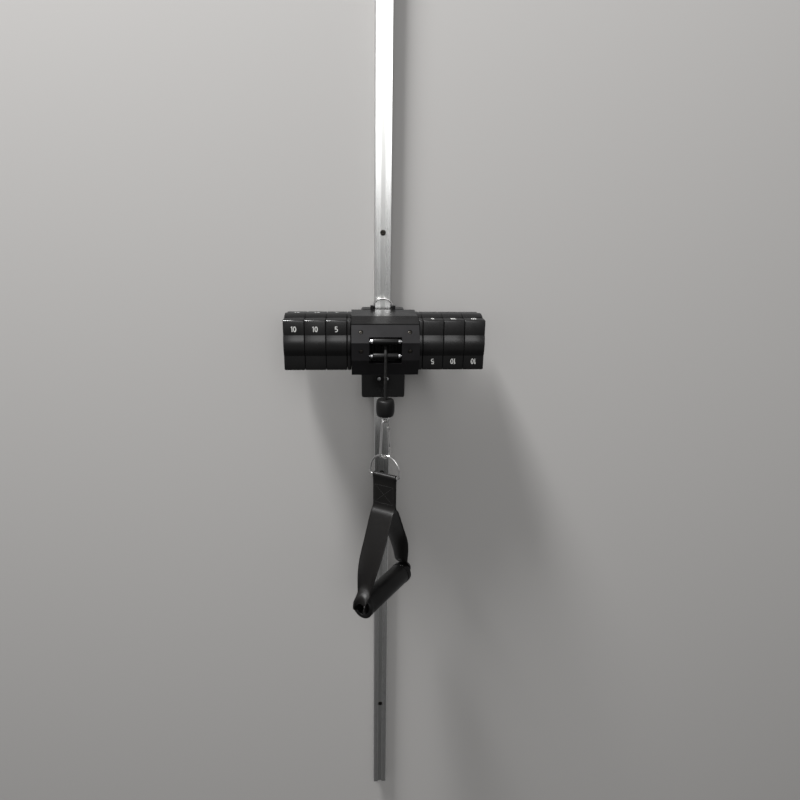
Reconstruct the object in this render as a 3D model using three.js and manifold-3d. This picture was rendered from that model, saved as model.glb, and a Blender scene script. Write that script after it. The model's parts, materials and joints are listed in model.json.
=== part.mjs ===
// Wall pulley with stacked spring packs: a two-section wall rail, a carriage that slides on it,
// a rope spool driven by three spring packs on each side, and a stirrup handle on a snap hook.
// Millimetres, +Z up. The wall is the plane Y = 0 and the object stands out of it towards -Y.
// The origin is on the rail's back face, at the height of the spool's axis.
import * as THREE from "three";
import { mergeVertices } from "three/addons/utils/BufferGeometryUtils.js";
import Module from "manifold-3d";

const wasm = await Module();
wasm.setup();

// Clearances
const seatGap = 0.3; // between two pieces that touch
const cutOverrun = 3; // how far a cutting tool runs past the face it cuts
const weldTolerance = 0.0005;

// Wall rail
const railWidth = 25.4;
const railDepth = 16;
const railSectionLength = 914.4;
const railHoleFromEnd = 203.2;
const railJointBelowAxis = 45;
const railBackFlange = 3.5;
const railFrontFlange = 5.2;
const railNeck = 13;
const railGrooveWidth = 7.5;
const railGrooveDepth = 2.6;
const railChamfer = 0.8;
const screwHoleRadius = 2.6;
const screwHeadRadius = 4.3;
const screwHeadHeight = 2.8;
const screwShankRadius = 2.2;
const screwLength = 45;
const screwTipLength = 7;
const counterboreDepth = 5.4;
const hexKeyRadius = 1.9;
const hexKeyDepth = 1.6;
const jointPinRadius = 2.2;
const jointPinLength = 40;

// Spool axis and spring packs
const axisStandoff = 63.5;
const packHalfFace = 38;
const packCrown = 42;
const packCornerRadius = 2.4;
const packStripHeight = 18.5;
const packStripStep = 0.9;
const packPitch = 31.25;
const packsPerSide = 3;
const packWall = 2.6;
const packCavityRadius = 34;
const packHubBoreRadius = 11;
const hubRadius = 10.4;
const hexAcrossFlats = 9;
const stubLength = 9;
const stubEndGap = 1;
const pegRadius = 2.2;
const pegLength = 4;
const pegOffset = 29;
const springTurns = 3;
const springThickness = 1.6;
const springWidth = 24;
const springInnerRadius = 12.6;

// Carriage block on the rail
const blockHalfWidth = 34.5;
const blockTop = 41.5;
const blockBottom = 98;
const blockUpperFront = 24;
const blockTailFront = 50;
const blockCornerRadius = 4;
const linerThickness = 1.5;
const linerLipLength = 2.9;
const tailScrewSpacing = 12.8;
const tailScrewHeight = 67;
const smallScrewRadius = 3.1;
const smallScrewHeadHeight = 2.2;
const smallScrewShankRadius = 1.5;
const smallScrewLength = 14;
const crossSlotWidth = 0.9;
const crossSlotLength = 3.8;
const crossSlotDepth = 1;
const recessDepth = 3;

// Housing, cover and fairlead
const housingHalfWidth = 50;
const housingTop = 41;
const housingBottom = 44;
const housingFront = 104;
const housingSlopeStart = 82;
const housingSlopeEnd = 33.5;
const housingWall = 3.2;
const housingCornerRadius = 2;
const coverFront = 123;
const coverShoulder = 105.5;
const coverTop = 31.7;
const coverUpperEdge = 8.5;
const coverLowerEdge = 17.5;
const coverWall = 3;
const coverScrewHalfSpan = 36;
const coverUpperScrewHeight = 22.5;
const coverLowerScrewHeight = 4;
const coverBossRadius = 5.6;
const windowHalfWidth = 24;
const windowTop = 16;
const windowBottom = 23;
const cheekWidth = 7;
const rollerStandoff = 115.2;
const upperRollerHeight = 9.2;
const lowerRollerHeight = 12.6;
const rollerRadius = 4.9;
const rollerHalfLength = 19;
const rollerCoreRadius = 3.6;
const rollerCoreHalfLength = 22.4;
const journalRadius = 1.6;
const journalHalfLength = 28.4;

// Shaft, bearings, spool and winding
const shaftRadius = 8;
const bearingOuterRadius = 13.6;
const bearingWidth = 8;
const bearingShieldInset = 0.8;
const bearingRaceWidth = 1.6;
const bearingBossWall = 3;
const seatPlateThickness = 5.9;
const spoolCoreRadius = 20;
const spoolFlangeRadius = 31;
const spoolFlangeThickness = 2.5;
const spoolHalfWidth = 28.5;
const windingTurns = 10;

// Lock
const lockWireRadius = 1.5;
const lockWireHalfSpan = 14.6;
const lockArchRise = 11;
const lockEarHalfSpan = 16.2;
const lockEarHeight = 5.2;
const lockEarRadius = 3.8;
const lockPocketHalfWidth = 9.5;
const lockPocketFloor = 10;
const lockNotchHalfWidth = 12.4;
const lockNotchDepth = 4; // below the block's top, where the rail comes out of it
const lockWedgeTop = 36;
const lockWedgeBottomDepth = 4.2;
const lockTravel = 6;
const lockFootHeight = 28;

// Rope
const ropeRadius = 2.3;
const ropeStandoff = 123;
const ropeSides = 8;
const ropeLeadEnd = 17.4; // below the axis, just under the fairlead's window sill

// Rope stop, swivel and snap hook
const stopTop = 77.5;
const stopBottom = 103.2;
const stopRadius = 14;
const stopEndRadius = 11.5;
const stopRopeDepth = 6;
const stopRecessRadius = 7;
const stopRecessDepth = 3.5;
const eyeWireRadius = 1.4;
const eyeHoleRadius = 4.8;
const eyeBelowStop = 5;
const eyeStemRadius = 2.5;
const eyeStemLength = 9;
const eyeYaw = 55;
const hookWireRadius = 1.8;
const hookTopRadius = 5.2;
const hookBottomRadius = 8.2;
const hookLength = 62;
const hookYaw = 25;
const gatePinDrop = 8.5;
const gateNoseRise = 8.4;
const gateTongueHalf = 0.8;
const gateEyeRadius = 2.5;
const gatePinRadius = 0.8;
const gateOverall = 2.2;

// Handle
const ringWireRadius = 1.75;
const ringInnerWidth = 48;
const ringDepth = 34.5;
const ringShoulderShare = 0.85; // below 1, the arch's shoulders are fuller than an ellipse's
const ringYaw = -32;
const strapWidth = 40;
const strapThickness = 2.2;
const strapLayerGap = 0.5;
const strapSewnLength = 50.4;
const strapLean = 12;
const strapLipCurlShare = 0.95;
const strapLipOpening = 30;
const strapLegOpening = 90;
const strapCurledLength = 95;
// Places along a leg: out from the middle by the grip's half length, and down from the seam to the grip
const strapLegShares = [
  [1.046, 0.88],
  [1.01, 0.856],
  [0.915, 0.826],
  [0.82, 0.785],
  [0.775, 0.72],
  [0.725, 0.633],
  [0.64, 0.51],
  [0.508, 0.365],
  [0.345, 0.223],
  [0.166, 0.085],
];
const handleDrop = 205.2; // from the D-ring's bar to the grip's axis
const gripYaw = 54;
const gripSlip = -2; // how far the grip hangs to one side along its axis
const gripSlipStartShare = 0.42; // of the legs' depth
const gripHalfLength = 61;
const gripBoreRadius = 11.2;
const gripCoreRadius = 12.6;
const gripSleeveRadius = 17.6;
const gripCollarRadius = 18.1;
const gripCollarWidth = 9;
const strapLipRadius = 3.3;

// Facets of round parts
const fineSides = 28;
const mediumSides = 20;
const smallSides = 12;
const tinySides = 8;

// Finishes: colour, roughness and metalness of each
const finishTable = {
  rail: [0xd2d2d0, 0.35, 0.9],
  blackShell: [0x17171a, 0.32, 0],
  blackCover: [0x2b2a2d, 0.45, 0],
  steel: [0xb9b9bb, 0.3, 1],
  darkSteel: [0x35343a, 0.4, 1],
  chrome: [0xe6e6e8, 0.08, 1],
  roller: [0x1b1b1d, 0.4, 0],
  liner: [0xe4e2da, 0.5, 0],
  spring: [0x6d6f74, 0.35, 1],
  rope: [0x4a494c, 0.9, 0],
  rubber: [0x1a1a1a, 0.7, 0],
  webbing: [0x1f1e20, 0.85, 0],
};
const finishes = Object.fromEntries(
  Object.entries(finishTable).map(([name, [color, roughness, metalness]]) => [
    name,
    new THREE.MeshStandardMaterial({ color, roughness, metalness, flatShading: true }),
  ]),
);

const toRadians = THREE.MathUtils.degToRad;

// Solids

/** Weld a geometry's vertices, drop its empty triangles and turn its faces outwards. */
function closed(geometry) {
  const bare = geometry.index ? geometry.toNonIndexed() : geometry.clone();
  bare.deleteAttribute("normal");
  bare.deleteAttribute("uv");
  const welded = mergeVertices(bare, weldTolerance);
  const position = welded.attributes.position;
  const triangles = [];
  const corner = [0, 1, 2].map(() => new THREE.Vector3());
  let sixVolumes = 0;
  for (let i = 0; i < welded.index.count; i += 3) {
    const ids = [0, 1, 2].map((k) => welded.index.getX(i + k));
    if (ids[0] === ids[1] || ids[1] === ids[2] || ids[2] === ids[0]) continue;
    ids.forEach((id, k) => corner[k].fromBufferAttribute(position, id));
    sixVolumes += corner[0].dot(corner[1].clone().cross(corner[2]));
    triangles.push(ids);
  }
  const index = triangles.flatMap(([a, b, c]) => (sixVolumes < 0 ? [a, c, b] : [a, b, c]));
  welded.setIndex(index);
  return welded;
}

/** Make a solid for joining and cutting. */
function solid(geometry) {
  const shape = closed(geometry);
  return new wasm.Manifold(
    new wasm.Mesh({
      numProp: 3,
      vertProperties: new Float32Array(shape.attributes.position.array),
      triVerts: new Uint32Array(shape.index.array),
    }),
  );
}

/** Turn a joined or cut solid back into a geometry. */
function geometryOf(shape) {
  const mesh = shape.getMesh();
  const geometry = new THREE.BufferGeometry();
  geometry.setAttribute("position", new THREE.BufferAttribute(new Float32Array(mesh.vertProperties), 3));
  geometry.setIndex(Array.from(mesh.triVerts));
  return geometry;
}

/** Cut tools out of a body. */
function cut(body, ...tools) {
  const start = body instanceof wasm.Manifold ? body : solid(body);
  const solids = tools.map((tool) => (tool instanceof wasm.Manifold ? tool : solid(tool)));
  return solids.reduce((left, tool) => left.subtract(tool), start);
}

/** Join shapes into one body. */
function join(...shapes) {
  const solids = shapes.map((shape) => (shape instanceof wasm.Manifold ? shape : solid(shape)));
  return solids.slice(1).reduce((sum, next) => sum.add(next), solids[0]);
}

const model = new THREE.Group();
model.name = "wall_pulley";

/** Add a named piece to a group. */
function piece(name, shape, material, parent = model) {
  const geometry = shape instanceof wasm.Manifold ? geometryOf(shape) : closed(shape);
  const mesh = new THREE.Mesh(geometry, material);
  mesh.name = name;
  parent.add(mesh);
  return mesh;
}

/** A group at a place, turned about the vertical. */
function mount(x, y, z, yaw = 0, parent = model) {
  const group = new THREE.Group();
  group.position.set(x, y, z);
  group.rotation.z = toRadians(yaw);
  parent.add(group);
  return group;
}

// Basic forms

/** A box between two corners. */
function boxBetween(low, high) {
  const size = high.map((value, k) => value - low[k]);
  const box = new THREE.BoxGeometry(...size);
  return box.translate(...low.map((value, k) => value + size[k] / 2));
}

/** A cylinder centred on a point, with its axis along x, y or z. */
function cylinder(radius, length, axis, centre = [0, 0, 0], sides = smallSides) {
  const shape = new THREE.CylinderGeometry(radius, radius, length, sides);
  if (axis === "x") shape.rotateZ(-Math.PI / 2);
  if (axis === "z") shape.rotateX(Math.PI / 2);
  return shape.translate(...centre);
}

/** A solid of revolution about x, y or z from [radius, height] points. */
function turned(profile, axis, sides = mediumSides) {
  const shape = new THREE.LatheGeometry(profile.map(([r, h]) => new THREE.Vector2(r, h)), sides);
  if (axis === "x") shape.rotateZ(-Math.PI / 2);
  if (axis === "z") shape.rotateX(Math.PI / 2);
  return shape;
}

/** A tube section of revolution that closes on itself. */
function ring(innerRadius, outerRadius, length, axis, sides = mediumSides) {
  const half = length / 2;
  const profile = [
    [innerRadius, -half],
    [outerRadius, -half],
    [outerRadius, half],
    [innerRadius, half],
    [innerRadius, -half],
  ];
  return turned(profile, axis, sides);
}

/** Round the corners of an outline of [a, b, radius] points. */
function rounded(corners, steps = 3) {
  const points = [];
  corners.forEach(([a, b, radius = 0], i) => {
    const here = new THREE.Vector2(a, b);
    if (!radius) {
      points.push(here);
      return;
    }
    const before = corners[(i + corners.length - 1) % corners.length];
    const after = corners[(i + 1) % corners.length];
    const toBefore = new THREE.Vector2(before[0], before[1]).sub(here).normalize();
    const toAfter = new THREE.Vector2(after[0], after[1]).sub(here).normalize();
    const halfAngle = Math.acos(THREE.MathUtils.clamp(toBefore.dot(toAfter), -1, 1)) / 2;
    const middle = toBefore.clone().add(toAfter).normalize();
    const centre = here.clone().addScaledVector(middle, radius / Math.sin(halfAngle));
    const start = here.clone().addScaledVector(toBefore, radius / Math.tan(halfAngle)).sub(centre);
    const end = here.clone().addScaledVector(toAfter, radius / Math.tan(halfAngle)).sub(centre);
    let sweep = end.angle() - start.angle();
    if (sweep > Math.PI) sweep -= 2 * Math.PI;
    if (sweep < -Math.PI) sweep += 2 * Math.PI;
    for (let k = 0; k <= steps; k += 1) {
      points.push(start.clone().rotateAround(new THREE.Vector2(), (sweep * k) / steps).add(centre));
    }
  });
  return points;
}

/** Extrude an outline of 2-D points to a depth. */
function extruded(points, depth) {
  return new THREE.ExtrudeGeometry(new THREE.Shape(points), { depth, bevelEnabled: false });
}

const sideToWorld = new THREE.Matrix4().makeBasis(
  new THREE.Vector3(0, 1, 0),
  new THREE.Vector3(0, 0, 1),
  new THREE.Vector3(1, 0, 0),
);

/** A prism across X from a side outline of (y, z) points. */
function prismX(points, fromX, toX) {
  return extruded(points, toX - fromX).applyMatrix4(sideToWorld).translate(fromX, 0, 0);
}

/** A prism across Y from a front outline of (x, z) points; fromY is nearer the wall. */
function prismY(points, fromY, toY) {
  return extruded(points, fromY - toY).rotateX(Math.PI / 2).translate(0, fromY, 0);
}

/** A prism up Z from a plan outline of (x, y) points. */
function prismZ(points, fromZ, toZ) {
  return extruded(points, toZ - fromZ).translate(0, 0, fromZ);
}

/** Join rings of points into a skin, closed end to end or capped. */
function loft(rings, endless = false) {
  const count = rings[0].length;
  const positions = rings.flatMap((points) => points.flatMap((p) => p.toArray()));
  const index = [];
  const spans = endless ? rings.length : rings.length - 1;
  for (let i = 0; i < spans; i += 1) {
    const a = i * count;
    const b = ((i + 1) % rings.length) * count;
    for (let k = 0; k < count; k += 1) {
      const next = (k + 1) % count;
      index.push(a + k, a + next, b + next, a + k, b + next, b + k);
    }
  }
  if (!endless) {
    const last = (rings.length - 1) * count;
    for (let k = 1; k < count - 1; k += 1) {
      index.push(0, k + 1, k, last, last + k, last + k + 1);
    }
  }
  const geometry = new THREE.BufferGeometry();
  geometry.setAttribute("position", new THREE.Float32BufferAttribute(positions, 3));
  geometry.setIndex(index);
  return geometry;
}

/** A round wire along points that lie in one plane with the given normal. */
function wire(points, radius, normal, sides = tinySides, endless = false) {
  const rings = points.map((point, i) => {
    const before = points[endless ? (i + points.length - 1) % points.length : Math.max(i - 1, 0)];
    const after = points[endless ? (i + 1) % points.length : Math.min(i + 1, points.length - 1)];
    const tangent = after.clone().sub(before).normalize();
    const side = normal.clone().cross(tangent).normalize();
    return Array.from({ length: sides }, (_, k) => {
      const angle = (2 * Math.PI * k) / sides;
      return point.clone()
        .addScaledVector(side, radius * Math.cos(angle))
        .addScaledVector(normal, radius * Math.sin(angle));
    });
  });
  return loft(rings, endless);
}

/** Points of an arc in the XZ plane, angles in degrees from +X towards +Z. */
function arcXZ(x, z, radius, fromAngle, toAngle, steps) {
  return Array.from({ length: steps + 1 }, (_, i) => {
    const angle = toRadians(fromAngle + ((toAngle - fromAngle) * i) / steps);
    return new THREE.Vector3(x + radius * Math.cos(angle), 0, z + radius * Math.sin(angle));
  });
}

// Wall rail: two equal sections, butt-jointed on a dowel pin and screwed to the wall

const railJointHeight = -railJointBelowAxis;
const railFoot = railJointHeight - railSectionLength;
const railFlangeBack = -(railDepth - railFrontFlange);
const railPinStandoff = (railBackFlange + railDepth - railFrontFlange) / 2;

function railOutline() {
  const half = railWidth / 2;
  const neck = railNeck / 2;
  const groove = railGrooveWidth / 2;
  const right = [
    [half, 0],
    [half, -railBackFlange],
    [neck, -railBackFlange],
    [neck, railFlangeBack],
    [half, railFlangeBack],
    [half, -railDepth + railChamfer],
    [half - railChamfer, -railDepth],
    [groove, -railDepth],
    [groove, -railDepth + railGrooveDepth],
  ];
  const left = right.map(([x, y]) => [-x, y]).reverse();
  return [...right, ...left].map(([x, y]) => new THREE.Vector2(x, y));
}

function railScrewHeights(foot) {
  return [foot + railHoleFromEnd, foot + railSectionLength - railHoleFromEnd];
}

function makeRailSection(name, foot) {
  const bar = prismZ(railOutline(), foot + seatGap / 2, foot + railSectionLength - seatGap / 2);
  const tools = railScrewHeights(foot).flatMap((height) => [
    cylinder(screwHoleRadius, railDepth + 2 * cutOverrun, "y", [0, -railDepth / 2, height]),
    cylinder(
      screwHeadRadius + seatGap,
      counterboreDepth + cutOverrun,
      "y",
      [0, -railDepth + (counterboreDepth - cutOverrun) / 2, height],
      mediumSides,
    ),
  ]);
  const pinBore = cylinder(
    jointPinRadius + seatGap,
    jointPinLength + 2 * seatGap,
    "z",
    [0, -railPinStandoff, railJointHeight],
  );
  return piece(name, cut(bar, ...tools, pinBore), finishes.rail);
}

function makeWallScrew(name, height) {
  const profile = [
    [0, 0],
    [screwHeadRadius, 0],
    [screwHeadRadius, -screwHeadHeight],
    [screwShankRadius, -screwHeadHeight],
    [screwShankRadius, -screwLength + screwTipLength],
    [0, -screwLength],
  ];
  const body = turned(profile, "y", smallSides).rotateX(Math.PI);
  const key = cylinder(hexKeyRadius, 2 * hexKeyDepth, "y", [0, 0, 0], 6);
  const screw = piece(name, cut(body, key), finishes.darkSteel);
  screw.position.set(0, -railDepth + counterboreDepth - seatGap - screwHeadHeight, height);
}

makeRailSection("rail_lower", railFoot);
makeRailSection("rail_upper", railJointHeight);
[railFoot, railJointHeight]
  .flatMap(railScrewHeights)
  .forEach((height, i) => makeWallScrew(`wall_screw_${i + 1}`, height));
piece(
  "rail_joint_pin",
  cylinder(jointPinRadius, jointPinLength, "z", [0, -railPinStandoff, railJointHeight]),
  finishes.steel,
);

// Carriage block: wraps the rail's front flange on two glide liners

const linerInnerX = railWidth / 2 + seatGap;
const linerOuterX = linerInnerX + linerThickness;
const linerFront = railDepth + seatGap + linerThickness;
const linerBack = railDepth - railFrontFlange - seatGap - linerThickness;
const channelHalfWidth = linerOuterX + seatGap;
const channelFront = linerFront + seatGap;
const channelBack = linerBack - seatGap;
const throatHalfWidth = railNeck / 2 + 2 * seatGap;
const blockBack = railBackFlange + 2 * seatGap;
const tailTop = -(housingBottom + seatGap);
const blockFloor = -blockBottom;
const notchFloor = blockTop - lockNotchDepth;
const earBase = blockTop - seatGap;
const lockWireStandoff = (channelFront + blockUpperFront) / 2;

function makeCarriageBlock() {
  const side = rounded([
    [-blockBack, blockFloor],
    [-blockBack, blockTop],
    [-blockUpperFront, blockTop],
    [-blockUpperFront, tailTop],
    [-blockTailFront, tailTop, housingCornerRadius],
    [-blockTailFront, blockFloor, housingCornerRadius],
  ]);
  const front = rounded([
    [-blockHalfWidth, blockFloor, blockCornerRadius],
    [blockHalfWidth, blockFloor, blockCornerRadius],
    [blockHalfWidth, blockTop, blockCornerRadius],
    [-blockHalfWidth, blockTop, blockCornerRadius],
  ]);
  const body = solid(prismX(side, -blockHalfWidth, blockHalfWidth))
    .intersect(solid(prismY(front, 0, -blockTailFront - cutOverrun)));
  const ears = [-1, 1].map((hand) =>
    cylinder(
      lockEarRadius,
      lockEarHeight + seatGap,
      "z",
      [hand * lockEarHalfSpan, -lockWireStandoff, earBase + (lockEarHeight + seatGap) / 2],
    ));
  const throat = boxBetween(
    [-throatHalfWidth, -channelBack - cutOverrun, blockFloor - cutOverrun],
    [throatHalfWidth, 0, blockTop + cutOverrun],
  );
  const channel = boxBetween(
    [-channelHalfWidth, -channelFront, blockFloor - cutOverrun],
    [channelHalfWidth, -channelBack, blockTop + cutOverrun],
  );
  const pocket = boxBetween(
    [-lockPocketHalfWidth, -blockUpperFront - cutOverrun, lockPocketFloor],
    [lockPocketHalfWidth, -channelFront + cutOverrun, blockTop + cutOverrun],
  );
  const notch = boxBetween(
    [-lockNotchHalfWidth, -blockUpperFront - cutOverrun, notchFloor],
    [lockNotchHalfWidth, -channelFront + cutOverrun, blockTop + cutOverrun],
  );
  const wireGap = lockWireRadius + seatGap;
  const legBores = [-1, 1].map((hand) =>
    cylinder(
      wireGap,
      blockTop + lockEarHeight + cutOverrun - lockFootHeight + wireGap,
      "z",
      [
        hand * lockWireHalfSpan,
        -lockWireStandoff,
        (blockTop + lockEarHeight + cutOverrun + lockFootHeight - wireGap) / 2,
      ],
    ));
  const footSlot = boxBetween(
    [-lockWireHalfSpan - wireGap, -lockWireStandoff - wireGap, lockFootHeight - wireGap],
    [
      lockWireHalfSpan + wireGap,
      -lockWireStandoff + wireGap,
      lockFootHeight + lockTravel + 3 * lockWireRadius,
    ],
  );
  const screwRecesses = tailScrewPlaces().flatMap(([x, z]) => [
    cylinder(
      smallScrewRadius + seatGap,
      recessDepth + cutOverrun,
      "y",
      [x, -blockTailFront + (recessDepth - cutOverrun) / 2, z],
    ),
    cylinder(
      smallScrewShankRadius + seatGap,
      smallScrewLength + recessDepth,
      "y",
      [x, -blockTailFront + (smallScrewLength + recessDepth) / 2, z],
    ),
  ]);
  const tools = [throat, channel, pocket, notch, ...legBores, footSlot, ...screwRecesses];
  piece("carriage_block", cut(join(body, ...ears), ...tools), finishes.blackShell);
}

function tailScrewPlaces() {
  return [-1, 1].map((hand) => [(hand * tailScrewSpacing) / 2, -tailScrewHeight]);
}

/** A pan-head machine screw along -Y (head outwards), with a cross recess. */
function panScrew() {
  const dome = smallScrewHeadHeight / 3;
  const profile = [
    [0, 0],
    [smallScrewRadius / 2, 0],
    [smallScrewRadius, -dome],
    [smallScrewRadius, -smallScrewHeadHeight],
    [smallScrewShankRadius, -smallScrewHeadHeight],
    [smallScrewShankRadius, -smallScrewLength],
    [0, -smallScrewLength],
  ];
  const body = turned(profile, "y", smallSides).rotateX(Math.PI);
  const half = crossSlotLength / 2;
  const slot = crossSlotWidth / 2;
  const arms = [
    boxBetween([-half, -cutOverrun, -slot], [half, crossSlotDepth, slot]),
    boxBetween([-slot, -cutOverrun, -half], [slot, crossSlotDepth, half]),
  ];
  return cut(body, ...arms);
}

/** A C-shaped glide strip on one edge of the rail's front flange. */
function makeGlideLiner(name, hand) {
  const backLip = throatHalfWidth + seatGap;
  const frontLip = railWidth / 2 - linerLipLength;
  const inner = railDepth + seatGap;
  const innerBack = railDepth - railFrontFlange - seatGap;
  const outline = [
    [backLip, -linerBack],
    [linerOuterX, -linerBack],
    [linerOuterX, -linerFront],
    [frontLip, -linerFront],
    [frontLip, -inner],
    [linerInnerX, -inner],
    [linerInnerX, -innerBack],
    [backLip, -innerBack],
  ].map(([x, y]) => new THREE.Vector2(hand * x, y));
  piece(name, prismZ(outline, blockFloor + seatGap, notchFloor - seatGap), finishes.liner);
}

makeCarriageBlock();
makeGlideLiner("glide_liner_left", -1);
makeGlideLiner("glide_liner_right", 1);
tailScrewPlaces().forEach(([x, z], i) => {
  const screw = piece(`tail_screw_${i + 1}`, panScrew(), finishes.steel);
  screw.position.set(x, -blockTailFront + recessDepth - seatGap - smallScrewHeadHeight, z);
});

// Lock: a wedge held against the rail, lifted by a chrome pull

function makeLock() {
  const front = -blockUpperFront + seatGap;
  const back = -railDepth - seatGap;
  const taper = back - lockWedgeBottomDepth;
  const side = [
    [back, lockWedgeTop],
    [front, lockWedgeTop],
    [front, lockFootHeight - 2 * lockWireRadius],
    [taper, lockPocketFloor + seatGap],
    [back, lockPocketFloor + seatGap],
  ].map(([y, z]) => new THREE.Vector2(y, z));
  const halfWidth = lockPocketHalfWidth - seatGap;
  const footBore = cylinder(
    lockWireRadius + seatGap,
    2 * lockPocketHalfWidth,
    "x",
    [0, -lockWireStandoff, lockFootHeight],
  );
  piece("lock_wedge", cut(prismX(side, -halfWidth, halfWidth), footBore), finishes.darkSteel);

  const bend = 2 * lockWireRadius;
  const footEnd = lockPocketHalfWidth / 2;
  const archSpring = blockTop + lockEarHeight;
  const archSteps = 12;
  const arch = Array.from({ length: archSteps + 1 }, (_, i) => {
    const angle = (Math.PI * i) / archSteps;
    return new THREE.Vector3(
      lockWireHalfSpan * Math.cos(angle),
      0,
      archSpring + lockArchRise * Math.sin(angle),
    );
  });
  const rightCorner = arcXZ(lockWireHalfSpan - bend, lockFootHeight + bend, bend, -90, 0, 3);
  const leftCorner = rightCorner.map((p) => new THREE.Vector3(-p.x, 0, p.z)).reverse();
  const path = [
    new THREE.Vector3(footEnd, 0, lockFootHeight),
    ...rightCorner,
    ...arch,
    ...leftCorner,
    new THREE.Vector3(-footEnd, 0, lockFootHeight),
  ];
  const bail = wire(path, lockWireRadius, new THREE.Vector3(0, 1, 0));
  piece("lock_pull", bail, finishes.chrome).position.y = -lockWireStandoff;
}

makeLock();

// Housing: a shell round the spool, closed by a faceted front cover

const housingBack = blockUpperFront + seatGap;
const bearingInnerX = housingHalfWidth - seatGap - bearingWidth;
const bearingBossRadius = bearingOuterRadius + seatGap + bearingBossWall;

function makeHousing() {
  const outer = rounded([
    [-housingBack, -housingBottom],
    [-housingBack, housingTop, housingCornerRadius],
    [-housingSlopeStart, housingTop, housingCornerRadius],
    [-housingFront, housingSlopeEnd],
    [-housingFront, -housingBottom],
  ]);
  const slope = (housingTop - housingSlopeEnd) / (housingFront - housingSlopeStart);
  const mouth = housingFront + cutOverrun;
  const inner = [
    [-housingBack - housingWall, -housingBottom + housingWall],
    [-housingBack - housingWall, housingTop - housingWall],
    [-housingSlopeStart, housingTop - housingWall],
    [-mouth, housingSlopeEnd - housingWall - slope * cutOverrun],
    [-mouth, -housingBottom + housingWall],
  ].map(([y, z]) => new THREE.Vector2(y, z));
  const innerHalf = housingHalfWidth - housingWall;
  const shell = cut(
    prismX(outer, -housingHalfWidth, housingHalfWidth),
    prismX(inner, -innerHalf, innerHalf),
  );
  const bosses = [-1, 1].map((hand) =>
    cylinder(
      bearingBossRadius,
      housingHalfWidth - bearingInnerX,
      "x",
      [(hand * (housingHalfWidth + bearingInnerX)) / 2, -axisStandoff, 0],
      mediumSides,
    ));
  const bore = cylinder(
    bearingOuterRadius + seatGap,
    2 * (housingHalfWidth + cutOverrun),
    "x",
    [0, -axisStandoff, 0],
    fineSides,
  );
  piece("housing_shell", cut(join(shell, ...bosses), bore), finishes.blackShell);
}

/** Angle and place of the four cover screws: two on the upper facet, two on the middle one. */
function coverScrewPlaces() {
  const run = coverFront - coverShoulder;
  const rise = coverTop - coverUpperEdge;
  const tilt = Math.atan2(run, rise);
  const along = (coverTop - coverUpperScrewHeight) / rise;
  const upperStandoff = coverShoulder + run * along;
  return [-1, 1].flatMap((hand) => [
    { x: hand * coverScrewHalfSpan, standoff: upperStandoff, height: coverUpperScrewHeight, tilt },
    { x: hand * coverScrewHalfSpan, standoff: coverFront, height: -coverLowerScrewHeight, tilt: 0 },
  ]);
}

/** Place a tool made along Y on one of the cover's screw axes. */
function onCover(shape, place) {
  return shape.rotateX(-place.tilt).translate(place.x, -place.standoff, place.height);
}

function makeCover() {
  const back = -housingFront - seatGap;
  const outline = [
    [back, coverTop],
    [-coverShoulder, coverTop],
    [-coverFront, coverUpperEdge],
    [-coverFront, -coverLowerEdge],
    [-coverShoulder, -housingBottom],
    [back, -housingBottom],
  ].map(([y, z]) => new THREE.Vector2(y, z));
  const body = prismX(outline, -housingHalfWidth, housingHalfWidth);
  const open = back + cutOverrun;
  const hollow = [
    [open, coverTop - coverWall],
    [-coverShoulder, coverTop - coverWall],
    [-coverFront + coverWall, coverUpperEdge - coverWall / 2],
    [-coverFront + coverWall, -coverLowerEdge + coverWall / 2],
    [-coverShoulder, -housingBottom + coverWall],
    [open, -housingBottom + coverWall],
  ].map(([y, z]) => new THREE.Vector2(y, z));
  const cheekX = windowHalfWidth + cheekWidth;
  const wallX = housingHalfWidth - coverWall;
  const places = coverScrewPlaces();
  const pockets = [
    cut(prismX(hollow, -wallX, -cheekX), ...places.map((p) => bossTool(p))),
    cut(prismX(hollow, cheekX, wallX), ...places.map((p) => bossTool(p))),
  ];
  const opening = boxBetween(
    [-windowHalfWidth, -coverFront - cutOverrun, -windowBottom],
    [windowHalfWidth, open, windowTop],
  );
  const journals = [upperRollerHeight, -lowerRollerHeight].map((height) =>
    cylinder(
      journalRadius + seatGap,
      2 * (journalHalfLength + seatGap),
      "x",
      [0, -rollerStandoff, height],
    ));
  const recesses = places.flatMap((p) => [
    onCover(
      cylinder(
        smallScrewRadius + seatGap,
        recessDepth + cutOverrun,
        "y",
        [0, (recessDepth - cutOverrun) / 2, 0],
      ),
      p,
    ),
    onCover(
      cylinder(
        smallScrewShankRadius + seatGap,
        smallScrewLength + recessDepth,
        "y",
        [0, (smallScrewLength + recessDepth) / 2, 0],
      ),
      p,
    ),
  ]);
  piece("front_cover", cut(body, ...pockets, opening, ...journals, ...recesses), finishes.blackCover);
  places.forEach((p, i) => {
    const screw = piece(`cover_screw_${i + 1}`, panScrew(), finishes.darkSteel);
    screw.rotation.x = -p.tilt;
    const inset = recessDepth - seatGap - smallScrewHeadHeight;
    screw.position.set(
      p.x,
      -p.standoff + inset * Math.cos(p.tilt),
      p.height - inset * Math.sin(p.tilt),
    );
  });
}

function bossTool(place) {
  const depth = coverFront - housingFront + cutOverrun;
  return onCover(cylinder(coverBossRadius, 2 * depth, "y"), place);
}

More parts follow.
